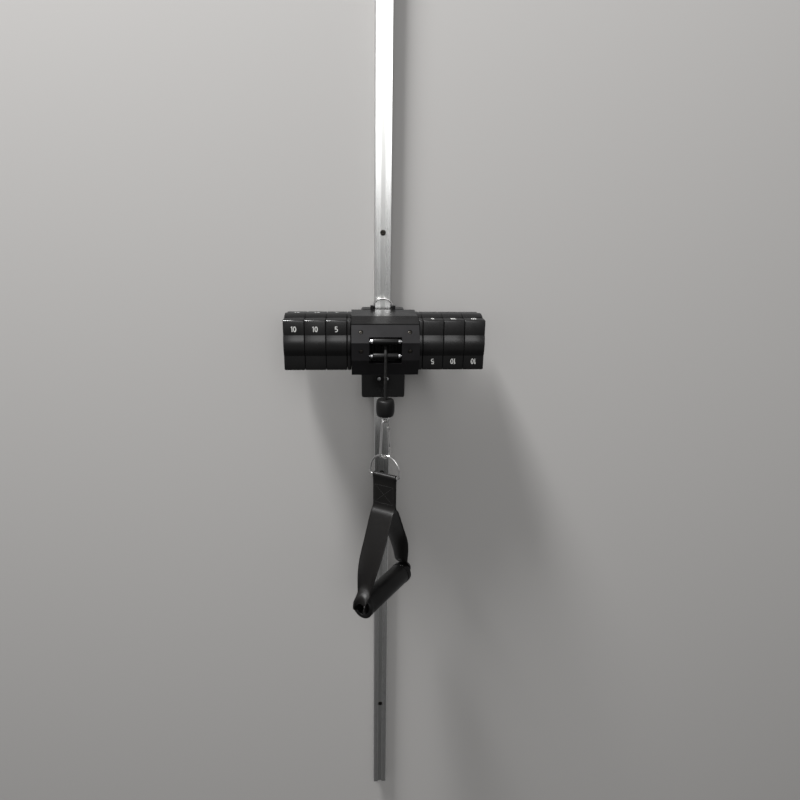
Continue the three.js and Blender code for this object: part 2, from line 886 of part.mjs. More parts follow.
function makeRoller(name, height) {
  const place = [0, -rollerStandoff, height];
  const core = [
    [0, -journalHalfLength],
    [journalRadius, -journalHalfLength],
    [journalRadius, -rollerCoreHalfLength],
    [rollerCoreRadius, -rollerCoreHalfLength],
    [rollerCoreRadius, rollerCoreHalfLength],
    [journalRadius, rollerCoreHalfLength],
    [journalRadius, journalHalfLength],
    [0, journalHalfLength],
  ];
  piece(`${name}_axle`, turned(core, "x", smallSides).translate(...place), finishes.steel);
  const sleeve = ring(rollerCoreRadius + seatGap, rollerRadius, 2 * rollerHalfLength, "x", mediumSides);
  piece(`${name}_sleeve`, sleeve.translate(...place), finishes.roller);
}

makeHousing();
makeCover();
makeRoller("upper_roller", upperRollerHeight);
makeRoller("lower_roller", -lowerRollerHeight);

// Shaft, bearings, spool and the rope wound on it

const shaftEnd = housingHalfWidth + 2 * seatGap + seatPlateThickness;
const hexSocketFlats = hexAcrossFlats + 2 * seatGap;

/** A hexagonal prism along X, by its size across the flats. */
function hexBar(acrossFlats, fromX, toX) {
  const radius = acrossFlats / 2 / Math.cos(Math.PI / 6);
  return cylinder(radius, toX - fromX, "x", [(fromX + toX) / 2, 0, 0], 6);
}

function makeSpool() {
  const centre = mount(0, -axisStandoff, 0);
  const shaft = cylinder(shaftRadius, 2 * shaftEnd, "x", [0, 0, 0], mediumSides);
  const socketDepth = stubLength + stubEndGap;
  const sockets = [-1, 1].map((hand) => {
    const ends = [hand * (shaftEnd - socketDepth), hand * (shaftEnd + cutOverrun)].sort((a, b) => a - b);
    return hexBar(hexSocketFlats, ...ends);
  });
  piece("main_shaft", cut(shaft, ...sockets), finishes.steel, centre);

  [-1, 1].forEach((hand) => {
    const inner = shaftRadius + seatGap;
    const half = bearingWidth / 2;
    const shield = half - bearingShieldInset;
    const outerRace = bearingOuterRadius - bearingRaceWidth;
    const innerRace = inner + bearingRaceWidth;
    const profile = [
      [inner, -half],
      [innerRace, -half],
      [innerRace, -shield],
      [outerRace, -shield],
      [outerRace, -half],
      [bearingOuterRadius, -half],
      [bearingOuterRadius, half],
      [outerRace, half],
      [outerRace, shield],
      [innerRace, shield],
      [innerRace, half],
      [inner, half],
      [inner, -half],
    ];
    const bearing = piece(
      hand < 0 ? "bearing_left" : "bearing_right",
      turned(profile, "x", mediumSides),
      finishes.steel,
      centre,
    );
    bearing.position.x = hand * (bearingInnerX + half);
  });

  const bore = shaftRadius + seatGap;
  const insideFlange = spoolHalfWidth - spoolFlangeThickness;
  const spool = [
    [bore, -spoolHalfWidth],
    [spoolFlangeRadius, -spoolHalfWidth],
    [spoolFlangeRadius, -insideFlange],
    [spoolCoreRadius, -insideFlange],
    [spoolCoreRadius, insideFlange],
    [spoolFlangeRadius, insideFlange],
    [spoolFlangeRadius, spoolHalfWidth],
    [bore, spoolHalfWidth],
    [bore, -spoolHalfWidth],
  ];
  piece("rope_spool", turned(spool, "x", mediumSides), finishes.roller, centre);

  const windingHalf = insideFlange - seatGap;
  const windingInner = spoolCoreRadius + seatGap;
  const turnWidth = (2 * windingHalf) / windingTurns;
  const valley = windingInner + ropeRadius;
  const crest = windingInner + 2 * ropeRadius;
  const winding = [[windingInner, -windingHalf], [valley, -windingHalf]];
  for (let i = 0; i < windingTurns; i += 1) {
    winding.push([crest, -windingHalf + (i + 0.5) * turnWidth]);
    winding.push([valley, -windingHalf + (i + 1) * turnWidth]);
  }
  winding.push([windingInner, windingHalf], [windingInner, -windingHalf]);
  piece("rope_winding", turned(winding, "x", mediumSides), finishes.rope, centre);
}

makeSpool();

// Spring packs: three a side on hexagonal stubs; the right-hand ones are the same packs turned over

/** Section of a pack: four crowned faces, each with a flat strip by its two corners. */
function packOutline(inset = 0) {
  const half = packHalfFace - inset;
  const crown = packCrown - inset;
  const band = half - packStripHeight;
  const shoulder = half + packStripStep;
  const sagitta = crown - shoulder;
  const crownRadius = (band * band + sagitta * sagitta) / (2 * sagitta);
  const halfSweep = Math.asin(band / crownRadius);
  const crownSteps = 6;
  const corners = [];
  for (let face = 0; face < 4; face += 1) {
    const turn = (face * Math.PI) / 2;
    const points = [[-half, half, packCornerRadius], [-band, half]];
    for (let i = 0; i <= crownSteps; i += 1) {
      const angle = -halfSweep + (2 * halfSweep * i) / crownSteps;
      points.push([crownRadius * Math.sin(angle), crown - crownRadius * (1 - Math.cos(angle))]);
    }
    points.push([band, half]);
    points.forEach(([a, b, radius = 0]) => {
      const p = new THREE.Vector2(a, b).rotateAround(new THREE.Vector2(), -turn);
      corners.push([p.x, p.y, radius]);
    });
  }
  return rounded(corners, 2);
}

function pegPlaces() {
  return [[pegOffset, pegOffset], [-pegOffset, -pegOffset]];
}

/** Sockets that take the next piece's two locating pegs, cut inwards from an outer face. */
function pegSockets(faceX) {
  const depth = pegLength + seatGap;
  return pegPlaces().map(([y, z]) =>
    cylinder(
      pegRadius + seatGap,
      depth + cutOverrun,
      "x",
      [faceX + (cutOverrun - depth) / 2, y, z],
      tinySides,
    ));
}

/** One closed strip wound in a flat spiral, for the pack's power spring. */
function spiralStrip() {
  const steps = springTurns * 14;
  const outerRadius = packCavityRadius - seatGap;
  const pitch = (outerRadius - springThickness - springInnerRadius) / springTurns;
  const edge = (offset) => Array.from({ length: steps + 1 }, (_, i) => {
    const angle = (2 * Math.PI * springTurns * i) / steps;
    const radius = springInnerRadius + offset + (pitch * angle) / (2 * Math.PI);
    return new THREE.Vector2(radius * Math.cos(angle), radius * Math.sin(angle));
  });
  return [...edge(springThickness), ...edge(0).reverse()];
}

function makePack(name, side, innerX) {
  const group = new THREE.Group();
  group.position.x = innerX;
  side.add(group);
  const width = packPitch - seatGap;
  const shell = prismX(packOutline(), 0, width);
  const cavity = cylinder(packCavityRadius, width - 2 * packWall, "x", [width / 2, 0, 0], mediumSides);
  const bore = cylinder(packHubBoreRadius, width + 2 * cutOverrun, "x", [width / 2, 0, 0], mediumSides);
  const pegs = pegPlaces().map(([y, z]) =>
    cylinder(pegRadius, pegLength + packWall, "x", [(packWall - pegLength) / 2, y, z], tinySides));
  const shape = cut(join(shell, ...pegs), cavity, bore, ...pegSockets(width));
  piece(`${name}_case`, shape, finishes.blackShell, group);

  const strip = prismX(spiralStrip(), (width - springWidth) / 2, (width + springWidth) / 2);
  piece(`${name}_spring`, strip, finishes.spring, group);

  const hubFrom = seatGap;
  const hubTo = width;
  const hub = cylinder(hubRadius, hubTo - hubFrom, "x", [(hubFrom + hubTo) / 2, 0, 0], mediumSides);
  const stub = hexBar(hexAcrossFlats, hubFrom - stubLength, hubFrom + packWall);
  const socket = hexBar(hexSocketFlats, hubTo - stubLength - stubEndGap, hubTo + cutOverrun);
  piece(`${name}_hub`, cut(join(hub, stub), socket), finishes.steel, group);
}

function makePackSide(hand) {
  const word = hand < 0 ? "left" : "right";
  const side = new THREE.Group();
  side.position.set(0, -axisStandoff, 0);
  side.rotation.y = hand < 0 ? Math.PI : 0;
  model.add(side);
  const seatFrom = housingHalfWidth + seatGap;
  const plate = prismX(packOutline(), seatFrom, seatFrom + seatPlateThickness);
  const bore = cylinder(packHubBoreRadius, packPitch, "x", [seatFrom, 0, 0], mediumSides);
  const seat = cut(plate, bore, ...pegSockets(seatFrom + seatPlateThickness));
  piece(`pack_seat_${word}`, seat, finishes.blackShell, side);
  for (let i = 0; i < packsPerSide; i += 1) {
    makePack(`pack_${word}_${i + 1}`, side, shaftEnd + i * packPitch);
  }
}

makePackSide(-1);
makePackSide(1);

// Rope: from the spool, between the rollers, over the lower one and down to its stop

const ropeBendRadius = ropeStandoff - rollerStandoff;
const windingMiddle = spoolCoreRadius + seatGap + ropeRadius;
const windingClear = windingMiddle + 2 * ropeRadius + seatGap;

/** The line that touches the winding and the lower roller on top, then the bend down. */
function ropeLeadPath() {
  const spool = new THREE.Vector2(-axisStandoff, 0);
  const roller = new THREE.Vector2(-rollerStandoff, -lowerRollerHeight);
  const between = roller.clone().sub(spool);
  const lean = Math.acos((windingMiddle - ropeBendRadius) / between.length());
  const normalAngle = between.angle() - lean;
  const normal = new THREE.Vector2(Math.cos(normalAngle), Math.sin(normalAngle));
  const onSpool = spool.clone().addScaledVector(normal, windingMiddle);
  const onRoller = roller.clone().addScaledVector(normal, ropeBendRadius);
  const clearRun = Math.sqrt(windingClear ** 2 - windingMiddle ** 2);
  const direction = onRoller.clone().sub(onSpool).normalize();
  const start = onSpool.clone().addScaledVector(direction, clearRun);
  const points = [start, start.clone().lerp(onRoller, 0.5)];
  const bendSteps = 6;
  for (let i = 0; i <= bendSteps; i += 1) {
    const angle = normalAngle + ((Math.PI - normalAngle) * i) / bendSteps;
    const outwards = new THREE.Vector2(Math.cos(angle), Math.sin(angle));
    points.push(roller.clone().addScaledVector(outwards, ropeBendRadius));
  }
  points.push(new THREE.Vector2(-ropeStandoff, -ropeLeadEnd));
  return points.map((point) => new THREE.Vector3(0, point.x, point.y));
}

/** The straight rope from the fairlead into the stop's bore. */
function ropeRunPath() {
  const top = -ropeLeadEnd - seatGap;
  const foot = -stopTop - stopRopeDepth + seatGap;
  const steps = 5;
  return Array.from({ length: steps + 1 }, (_, i) =>
    new THREE.Vector3(0, -ropeStandoff, top + ((foot - top) * i) / steps));
}

[["rope_lead", ropeLeadPath()], ["rope_run", ropeRunPath()]].forEach(([name, path]) =>
  piece(name, wire(path, ropeRadius, new THREE.Vector3(1, 0, 0), ropeSides), finishes.rope));

// Rope stop, swivel eye and snap hook

const eyeCentre = -(stopBottom + eyeBelowStop);
const eyeBottomWire = eyeCentre - eyeHoleRadius - eyeWireRadius;
const hookTopWire = eyeBottomWire + eyeWireRadius + 2 * seatGap + hookWireRadius;
const hookBottomWire = hookTopWire - hookLength;
const ringTopWire = hookBottomWire + hookWireRadius + seatGap + ringWireRadius;
const ringBar = ringTopWire - ringDepth;
const stopMiddle = -(stopTop + stopBottom) / 2;

function makeRopeEnd() {
  const line = mount(0, -ropeStandoff, 0);
  const steps = 8;
  const halfHeight = (stopBottom - stopTop) / 2;
  const barrel = [[0, stopMiddle - halfHeight]];
  for (let i = 0; i <= steps; i += 1) {
    const share = -1 + (2 * i) / steps;
    const swell = Math.sqrt(1 - share * share);
    barrel.push([
      stopEndRadius + (stopRadius - stopEndRadius) * swell,
      stopMiddle + halfHeight * share,
    ]);
  }
  barrel.push([0, stopMiddle + halfHeight]);
  const ropeBore = cylinder(
    ropeRadius + seatGap,
    stopRopeDepth + cutOverrun,
    "z",
    [0, 0, -stopTop - (stopRopeDepth - cutOverrun) / 2],
  );
  const recess = cylinder(
    stopRecessRadius,
    stopRecessDepth + cutOverrun,
    "z",
    [0, 0, -stopBottom + (stopRecessDepth - cutOverrun) / 2],
    mediumSides,
  );
  const stemBoreTop = -stopBottom + stopRecessDepth + eyeStemLength;
  const stemBore = cylinder(
    eyeStemRadius + seatGap,
    eyeStemLength + cutOverrun,
    "z",
    [0, 0, stemBoreTop - (eyeStemLength + cutOverrun) / 2],
  );
  const stop = cut(turned(barrel, "z", mediumSides), ropeBore, recess, stemBore);
  piece("rope_stop", stop, finishes.rubber, line);

  const loopRadius = eyeHoleRadius + eyeWireRadius;
  const loop = new THREE.TorusGeometry(loopRadius, eyeWireRadius, tinySides, mediumSides)
    .rotateY(Math.PI / 2)
    .translate(0, 0, eyeCentre);
  const stemTop = stemBoreTop - seatGap;
  const stemFoot = eyeCentre + loopRadius;
  const stem = cylinder(eyeStemRadius, stemTop - stemFoot, "z", [0, 0, (stemTop + stemFoot) / 2]);
  piece("swivel_eye", join(loop, stem), finishes.chrome, mount(0, 0, 0, eyeYaw, line));
  makeHook(mount(0, 0, 0, hookYaw, line));
}

function makeHook(plane) {
  const topCentre = hookTopWire - hookTopRadius;
  const bottomCentre = hookBottomWire + hookBottomRadius;
  const pinHeight = topCentre - gatePinDrop;
  const noseHeight = bottomCentre + gateNoseRise;
  const sideX = (z) => {
    const share = (topCentre - z) / (topCentre - bottomCentre);
    return hookTopRadius + (hookBottomRadius - hookTopRadius) * share;
  };
  const pin = new THREE.Vector3(sideX(pinHeight), 0, pinHeight);
  const nose = new THREE.Vector3(sideX(noseHeight), 0, noseHeight);
  const path = [
    pin,
    ...arcXZ(0, topCentre, hookTopRadius, 0, 180, 8),
    new THREE.Vector3(-sideX(pinHeight), 0, pinHeight),
    new THREE.Vector3(-sideX(noseHeight), 0, noseHeight),
    ...arcXZ(0, bottomCentre, hookBottomRadius, 180, 360, 10),
    nose,
  ];
  const normal = new THREE.Vector3(0, 1, 0);
  const eye = (halfWidth, radius) => cylinder(radius, 2 * halfWidth, "y", pin.toArray());
  const eyeClear = gateEyeRadius + seatGap;
  const outside = [-1, 1].map((hand) =>
    cylinder(eyeClear, cutOverrun, "y", [pin.x, hand * (gateTongueHalf + cutOverrun / 2), pin.z]));
  const pinHole = cylinder(gatePinRadius + seatGap, 4 * gateOverall, "y", pin.toArray(), tinySides);
  const body = cut(
    join(cut(wire(path, hookWireRadius, normal), ...outside), eye(gateTongueHalf, gateEyeRadius)),
    pinHole,
  );
  piece("hook_body", body, finishes.chrome, plane);

  const down = nose.clone().sub(pin).normalize();
  const gateEnd = nose.clone().addScaledVector(down, -seatGap - gatePinRadius / 2);
  const bar = wire([pin.clone(), gateEnd], hookWireRadius, normal);
  const slot = eye(gateTongueHalf + seatGap, eyeClear);
  const gate = cut(join(bar, eye(gateOverall, gateEyeRadius)), slot, pinHole);
  piece("hook_gate", gate, finishes.chrome, plane);
  const pinBody = cylinder(gatePinRadius, 2 * gateOverall, "y", pin.toArray(), tinySides);
  piece("gate_pin", pinBody, finishes.steel, plane);
}

makeRopeEnd();

// Handle: a D-ring, a webbing strap and a grip tube that turns on it

function makeRing() {
  const plane = mount(0, -ropeStandoff, 0, ringYaw);
  const halfBar = ringInnerWidth / 2 + ringWireRadius;
  const cornerRadius = 2 * ringWireRadius;
  const shoulder = ringBar + cornerRadius;
  const archSteps = 16;
  const arch = Array.from({ length: archSteps + 1 }, (_, i) => {
    const angle = (Math.PI * i) / archSteps;
    const across = Math.sign(Math.cos(angle)) * Math.abs(Math.cos(angle)) ** ringShoulderShare;
    const up = Math.abs(Math.sin(angle)) ** ringShoulderShare;
    return new THREE.Vector3(halfBar * across, 0, shoulder + (ringTopWire - shoulder) * up);
  });
  const path = [
    ...arch,
    ...arcXZ(-halfBar + cornerRadius, shoulder, cornerRadius, 180, 270, 3).slice(1),
    ...arcXZ(halfBar - cornerRadius, shoulder, cornerRadius, 270, 360, 3).slice(0, -1),
  ];
  const ringWire = wire(path, ringWireRadius, new THREE.Vector3(0, 1, 0), tinySides, true);
  piece("d_ring", ringWire, finishes.chrome, plane);
}

const strapTubeRadius = gripBoreRadius - 2 * seatGap - strapThickness / 2;
const strapSeam = ringBar - strapSewnLength;
const gripAxis = ringBar - handleDrop;

/** How far the strap has moved aside with the grip, at a height. */
function slipAt(z) {
  const start = THREE.MathUtils.lerp(strapSeam, gripAxis, gripSlipStartShare);
  return gripSlip * THREE.MathUtils.smoothstep(-z, -start, -gripAxis);
}

/** Stations round the webbing loop: place in the handle's plane, curl, and where the curl opens to. */
function strapStations() {
  const half = [];
  const add = (u, z, curl, opening) => half.push({ u, z, curl, opening });
  const tubeLine = gripAxis + strapTubeRadius;
  const inTube = 2;
  for (let i = 0; i <= inTube; i += 1) add((gripHalfLength * i) / inTube, tubeLine, 1, 0);

  const turnSteps = 4;
  for (let i = 1; i <= turnSteps; i += 1) {
    const angle = toRadians(-90 + ((90 + strapLean) * i) / turnSteps);
    add(
      gripHalfLength + strapLipRadius * Math.cos(angle),
      tubeLine + strapLipRadius + strapLipRadius * Math.sin(angle),
      THREE.MathUtils.lerp(1, strapLipCurlShare, i / turnSteps),
      (strapLipOpening * i) / turnSteps,
    );
  }
  const foot = half[half.length - 1];
  const layer = (strapLayerGap + strapThickness) / 2;
  const leg = strapLegShares.map(([out, down]) => [
    gripHalfLength * out,
    THREE.MathUtils.lerp(strapSeam, gripAxis, down),
  ]);
  for (const [u, z] of [...leg, [layer, strapSeam]]) {
    const flat = THREE.MathUtils.smoothstep(z - foot.z, 0, strapCurledLength);
    const opening = THREE.MathUtils.lerp(strapLipOpening, strapLegOpening, flat);
    add(u, z, strapLipCurlShare * (1 - flat), opening);
  }
  const loopRadius = ringWireRadius + seatGap + strapThickness / 2;
  add(layer, ringBar - 4 * loopRadius, 0, strapLegOpening);
  const wrapSteps = 4;
  for (let i = 0; i <= wrapSteps; i += 1) {
    const angle = toRadians((90 * i) / wrapSteps);
    add(loopRadius * Math.cos(angle), ringBar + loopRadius * Math.sin(angle), 0, strapLegOpening);
  }
  const other = half.slice(1, -1).reverse().map((station) => ({
    ...station,
    u: -station.u,
    opening: -station.opening,
  }));
  return [...half, ...other];
}

/** The webbing's middle line across its width at one station. */
function strapLine({ u, z, curl, opening }) {
  const across = 8;
  const yaw = strapYaw(z);
  const along = new THREE.Vector3(Math.cos(yaw), Math.sin(yaw), 0);
  const wide = new THREE.Vector3(-Math.sin(yaw), Math.cos(yaw), 0);
  const angleOpen = toRadians(opening);
  const fold = along.clone().multiplyScalar(Math.sin(angleOpen)).setZ(-Math.cos(angleOpen));
  const centre = along.clone().multiplyScalar(u + slipAt(z)).setZ(z);
  const sweep = Math.max((strapWidth / strapTubeRadius) * curl, 0.02);
  const radius = strapWidth / sweep;
  return Array.from({ length: across + 1 }, (_, k) => {
    const angle = (k / across - 0.5) * sweep;
    return centre.clone()
      .addScaledVector(wide, radius * Math.sin(angle))
      .addScaledVector(fold, radius * (1 - Math.cos(angle)));
  });
}

/** Both faces of the webbing at one station, out along one and back along the other. */
function strapSection(lines, i) {
  const line = lines[i];
  const before = lines[(i + lines.length - 1) % lines.length];
  const after = lines[(i + 1) % lines.length];
  const normals = line.map((_, k) => {
    const along = after[k].clone().sub(before[k]);
    const across = line[Math.min(k + 1, line.length - 1)].clone().sub(line[Math.max(k - 1, 0)]);
    return along.cross(across).normalize();
  });
  const face = (offset) => line.map((p, k) => p.clone().addScaledVector(normals[k], offset));
  return [...face(strapThickness / 2), ...face(-strapThickness / 2).reverse()];
}

/** The strap turns from the D-ring's direction to the grip tube's on its way down. */
function strapYaw(z) {
  const share = THREE.MathUtils.smoothstep(-z, -strapSeam, -gripAxis);
  return toRadians(THREE.MathUtils.lerp(ringYaw + 90, gripYaw, share));
}

function makeStrap() {
  const lines = strapStations().map(strapLine);
  const rings = lines.map((_, i) => strapSection(lines, i));
  piece("strap", loft(rings, true), finishes.webbing, mount(0, -ropeStandoff, 0));
}

function makeGrip() {
  const tube = mount(gripSlip, 0, 0, 0, mount(0, -ropeStandoff, gripAxis, gripYaw));
  const sleeveHalf = gripHalfLength - gripCollarWidth;
  const core = [
    [gripBoreRadius, -gripHalfLength],
    [gripCollarRadius, -gripHalfLength],
    [gripCollarRadius, -sleeveHalf],
    [gripCoreRadius, -sleeveHalf],
    [gripCoreRadius, sleeveHalf],
    [gripCollarRadius, sleeveHalf],
    [gripCollarRadius, gripHalfLength],
    [gripBoreRadius, gripHalfLength],
    [gripBoreRadius, -gripHalfLength],
  ];
  piece("grip_core", turned(core, "x", fineSides), finishes.roller, tube);
  const sleeveLength = 2 * (sleeveHalf - seatGap);
  const sleeve = ring(gripCoreRadius + seatGap, gripSleeveRadius, sleeveLength, "x", fineSides);
  piece("grip_sleeve", sleeve, finishes.rubber, tube);
}

makeRing();
makeStrap();
makeGrip();

export default model;
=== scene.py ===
"""Dress the wall pulley: finishes, bright metalwork, rope, webbing, numbers, light and camera."""

from __future__ import annotations

import json
import logging
import math
from collections.abc import Callable, Iterable, Sequence
from dataclasses import dataclass
from enum import Enum

import bmesh
import bpy
from mathutils import Matrix, Vector
from mathutils.geometry import tessellate_polygon


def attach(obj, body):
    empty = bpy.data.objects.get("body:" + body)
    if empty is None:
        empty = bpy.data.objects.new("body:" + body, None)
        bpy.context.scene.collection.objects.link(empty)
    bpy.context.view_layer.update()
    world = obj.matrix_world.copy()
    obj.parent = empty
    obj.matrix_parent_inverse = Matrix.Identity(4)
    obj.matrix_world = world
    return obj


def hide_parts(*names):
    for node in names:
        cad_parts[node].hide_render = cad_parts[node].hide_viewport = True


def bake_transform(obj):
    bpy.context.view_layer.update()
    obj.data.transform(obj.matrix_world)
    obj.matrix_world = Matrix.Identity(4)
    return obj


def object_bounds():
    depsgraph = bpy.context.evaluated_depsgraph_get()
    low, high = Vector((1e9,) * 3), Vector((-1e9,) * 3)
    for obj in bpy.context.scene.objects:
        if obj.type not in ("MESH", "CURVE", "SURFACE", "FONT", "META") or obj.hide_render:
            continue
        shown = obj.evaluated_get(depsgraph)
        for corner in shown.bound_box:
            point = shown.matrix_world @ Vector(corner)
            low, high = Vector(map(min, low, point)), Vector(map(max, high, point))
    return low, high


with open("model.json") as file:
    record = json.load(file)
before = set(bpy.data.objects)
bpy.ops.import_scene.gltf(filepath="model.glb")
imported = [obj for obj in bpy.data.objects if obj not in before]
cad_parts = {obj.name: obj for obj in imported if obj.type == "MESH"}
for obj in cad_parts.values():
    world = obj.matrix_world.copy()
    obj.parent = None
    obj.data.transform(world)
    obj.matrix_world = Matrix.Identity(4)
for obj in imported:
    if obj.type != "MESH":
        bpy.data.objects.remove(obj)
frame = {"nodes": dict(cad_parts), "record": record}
cad_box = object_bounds()

log = logging.getLogger("wall_pulley")

MM = 0.001
WEAVE_MAP = "weave"
Colour = tuple[float, float, float]
Point = tuple[float, float, float]
Ring = list[Vector]
Outline = list[tuple[float, float]]

# How near two points of a form are one, in metres
WELD_DISTANCE = 1e-7

# Sockets of a Mix node that mixes colours
MIX_SHARE, MIX_LOW, MIX_HIGH, MIX_RESULT = 0, 6, 7, 2

# Ranges of noise: the one it mostly stays in, and fine lines as a change of roughness
NOISE_SPREAD = (0.3, 0.7)
LINE_SPREAD = (0.25, 0.75, -0.05, 0.05)


class Axis(Enum):
    """A direction of the row frame, by its unit vector."""

    X = (1.0, 0.0, 0.0)
    Y = (0.0, 1.0, 0.0)
    Z = (0.0, 0.0, 1.0)

    @property
    def vector(self) -> Vector:
        """The axis as a vector."""
        return Vector(self.value)


class Side(Enum):
    """The two sides of the carriage, by the sign of X."""

    LEFT = -1
    RIGHT = 1

    @property
    def word(self) -> str:
        """The side's name as the nodes write it."""
        return self.name.lower()


# Shader maths


class Signal:
    """A value that varies over a surface: a node's socket that Python's operators work on."""

    def __init__(self, sheet: "NodeSheet", socket: bpy.types.NodeSocket) -> None:
        """Keep the socket and the sheet it belongs to.

        Args:
            sheet: The node tree that the socket is in.
            socket: The output socket that carries the value.
        """
        self.sheet = sheet
        self.socket = socket

    def _math(self, operation: str, first: "Signal | float", second: "Signal | float") -> "Signal":
        """Add a Math node.

        Args:
            operation: The Math node's operation.
            first: Its first value.
            second: Its second value.

        Returns:
            The node's result.
        """
        return self.sheet.node("ShaderNodeMath", {"operation": operation}, {0: first, 1: second})

    def __add__(self, other: "Signal | float") -> "Signal":
        """The sum of the two."""
        return self._math("ADD", self, other)

    def __radd__(self, other: float) -> "Signal":
        """The sum, with the number first."""
        return self._math("ADD", other, self)

    def __sub__(self, other: "Signal | float") -> "Signal":
        """The difference of the two."""
        return self._math("SUBTRACT", self, other)

    def __rsub__(self, other: float) -> "Signal":
        """The difference, with the number first."""
        return self._math("SUBTRACT", other, self)

    def __mul__(self, other: "Signal | float") -> "Signal":
        """The product of the two."""
        return self._math("MULTIPLY", self, other)

    def __rmul__(self, other: float) -> "Signal":
        """The product, with the number first."""
        return self._math("MULTIPLY", other, self)

    def sine(self) -> "Signal":
        """The sine of the value."""
        return self._math("SINE", self, 0.0)

    def size(self) -> "Signal":
        """The value without its sign."""
        return self._math("ABSOLUTE", self, 0.0)

    def ramp(self, low: float, high: float, start: float = 0.0, end: float = 1.0) -> "Signal":
        """Stretch a range of the value to another, held at its ends.

        Args:
            low: The value that gives start.
            high: The value that gives end.
            start: The result at and below low.
            end: The result at and above high.

        Returns:
            The stretched value.
        """
        ends = {"From Min": low, "From Max": high, "To Min": start, "To Max": end}
        return self.sheet.node("ShaderNodeMapRange", {"clamp": True}, {"Value": self, **ends})


class NodeSheet:
    """The nodes of one material, or of the world, with methods for what the finishes use."""

    def __init__(self, name: str, world: bool = False) -> None:
        """Make an empty material or world.

        Args:
            name: Its name.
            world: Whether it is a world.
        """
        self.material = (bpy.data.worlds if world else bpy.data.materials).new(name)
        self.material.use_nodes = True
        self.tree = self.material.node_tree
        self.tree.nodes.clear()

    def node(
        self,
        kind: str,
        settings: dict[str, object] | None = None,
        inputs: dict[str | int, object] | None = None,
        output: str | int = 0,
    ) -> Signal:
        """Add a node, set it and fill its sockets.

        Args:
            kind: The node's type.
            settings: The node's own settings, set first; "stops" fills a colour ramp.
            inputs: Values or signals for its sockets, by name or place.
            output: The socket to hand on.

        Returns:
            The chosen output.
        """
        made = self.tree.nodes.new(kind)
        for key, value in (settings or {}).items():
            if key == "stops":
                self._fill_ramp(made, value)
            else:
                setattr(made, key, value)
        for key, value in (inputs or {}).items():
            if isinstance(value, Signal):
                self.tree.links.new(value.socket, made.inputs[key])
            else:
                made.inputs[key].default_value = value
        return Signal(self, made.outputs[output])

    @staticmethod
    def _fill_ramp(made: bpy.types.Node, stops: Sequence[tuple[float, Colour]]) -> None:
        """Set a colour ramp's stops.

        Args:
            made: The ramp's node.
            stops: Places from 0 to 1 and the colours there.
        """
        elements = made.color_ramp.elements
        while len(elements) < len(stops):
            elements.new(0.5)
        for element, (place, colour) in zip(elements, stops):
            element.position = place
            element.color = (*colour, 1.0)

    def place(self, stretch: Point = (1.0, 1.0, 1.0)) -> Signal:
        """The point on the piece in its own frame, in metres, times a stretch along each axis."""
        point = self.node("ShaderNodeTexCoord", output="Object")
        return self.node("ShaderNodeVectorMath", {"operation": "MULTIPLY"}, {0: point, 1: stretch})

    def part_of(self, vector: Signal, output: str) -> Signal:
        """One component, X, Y or Z, of a vector."""
        return self.node("ShaderNodeSeparateXYZ", inputs={0: vector}, output=output)

    def grain(self, size: float, stretch: Point = (1.0, 1.0, 1.0), detail: float = 2.0) -> Signal:
        """Soft noise.

        Args:
            size: The size of its features, in metres.
            stretch: How much finer it is along each axis.
            detail: How many finer layers it has.

        Returns:
            Noise from 0 to 1, mostly near the middle.
        """
        inputs = {"Vector": self.place(stretch), "Scale": 1.0 / size, "Detail": detail}
        return self.node("ShaderNodeTexNoise", inputs=inputs)

    def tint(self, share: Signal, low: Signal | Colour, high: Colour) -> Signal:
        """A colour between a plain or a varied one and a plain one.

        Args:
            share: How much of the second shows, from 0 to 1.
            low: The first colour, which may be a signal.
            high: The second colour.

        Returns:
            The mixed colour.
        """
        first = low if isinstance(low, Signal) else (*low, 1.0)
        inputs = {MIX_SHARE: share, MIX_LOW: first, MIX_HIGH: (*high, 1.0)}
        return self.node("ShaderNodeMix", {"data_type": "RGBA"}, inputs, output=MIX_RESULT)

    def bump(self, height: Signal, depth: float, below: Signal | None = None) -> Signal:
        """A normal from a height.

        Args:
            height: The height, from 0 to 1.
            depth: What a height of 1 is in metres.
            below: A normal that it is added to.

        Returns:
            The bumped normal.
        """
        inputs: dict[str | int, object] = {"Height": height, "Distance": depth, "Strength": 1.0}
        if below is not None:
            inputs["Normal"] = below
        return self.node("ShaderNodeBump", inputs=inputs)

    def surface(self, **sockets: object) -> bpy.types.Material:
        """Close the sheet with one Principled surface.

        Args:
            **sockets: Its sockets, with an underscore for each space of their names.

        Returns:
            The finished material.
        """
        inputs = {key.replace("_", " "): value for key, value in sockets.items()}
        shader = self.node("ShaderNodeBsdfPrincipled", inputs=inputs)
        self.node_output(shader)
        return self.material

    def node_output(self, shader: Signal, kind: str = "ShaderNodeOutputMaterial") -> None:
        """Lead a shader to the output."""
        end = self.tree.nodes.new(kind)
        self.tree.links.new(shader.socket, end.inputs["Surface"])


# Finishes


def scaled(colour: Colour, factor: float) -> Colour:
    """A colour made paler or darker by a factor."""
    return tuple(factor * part for part in colour)


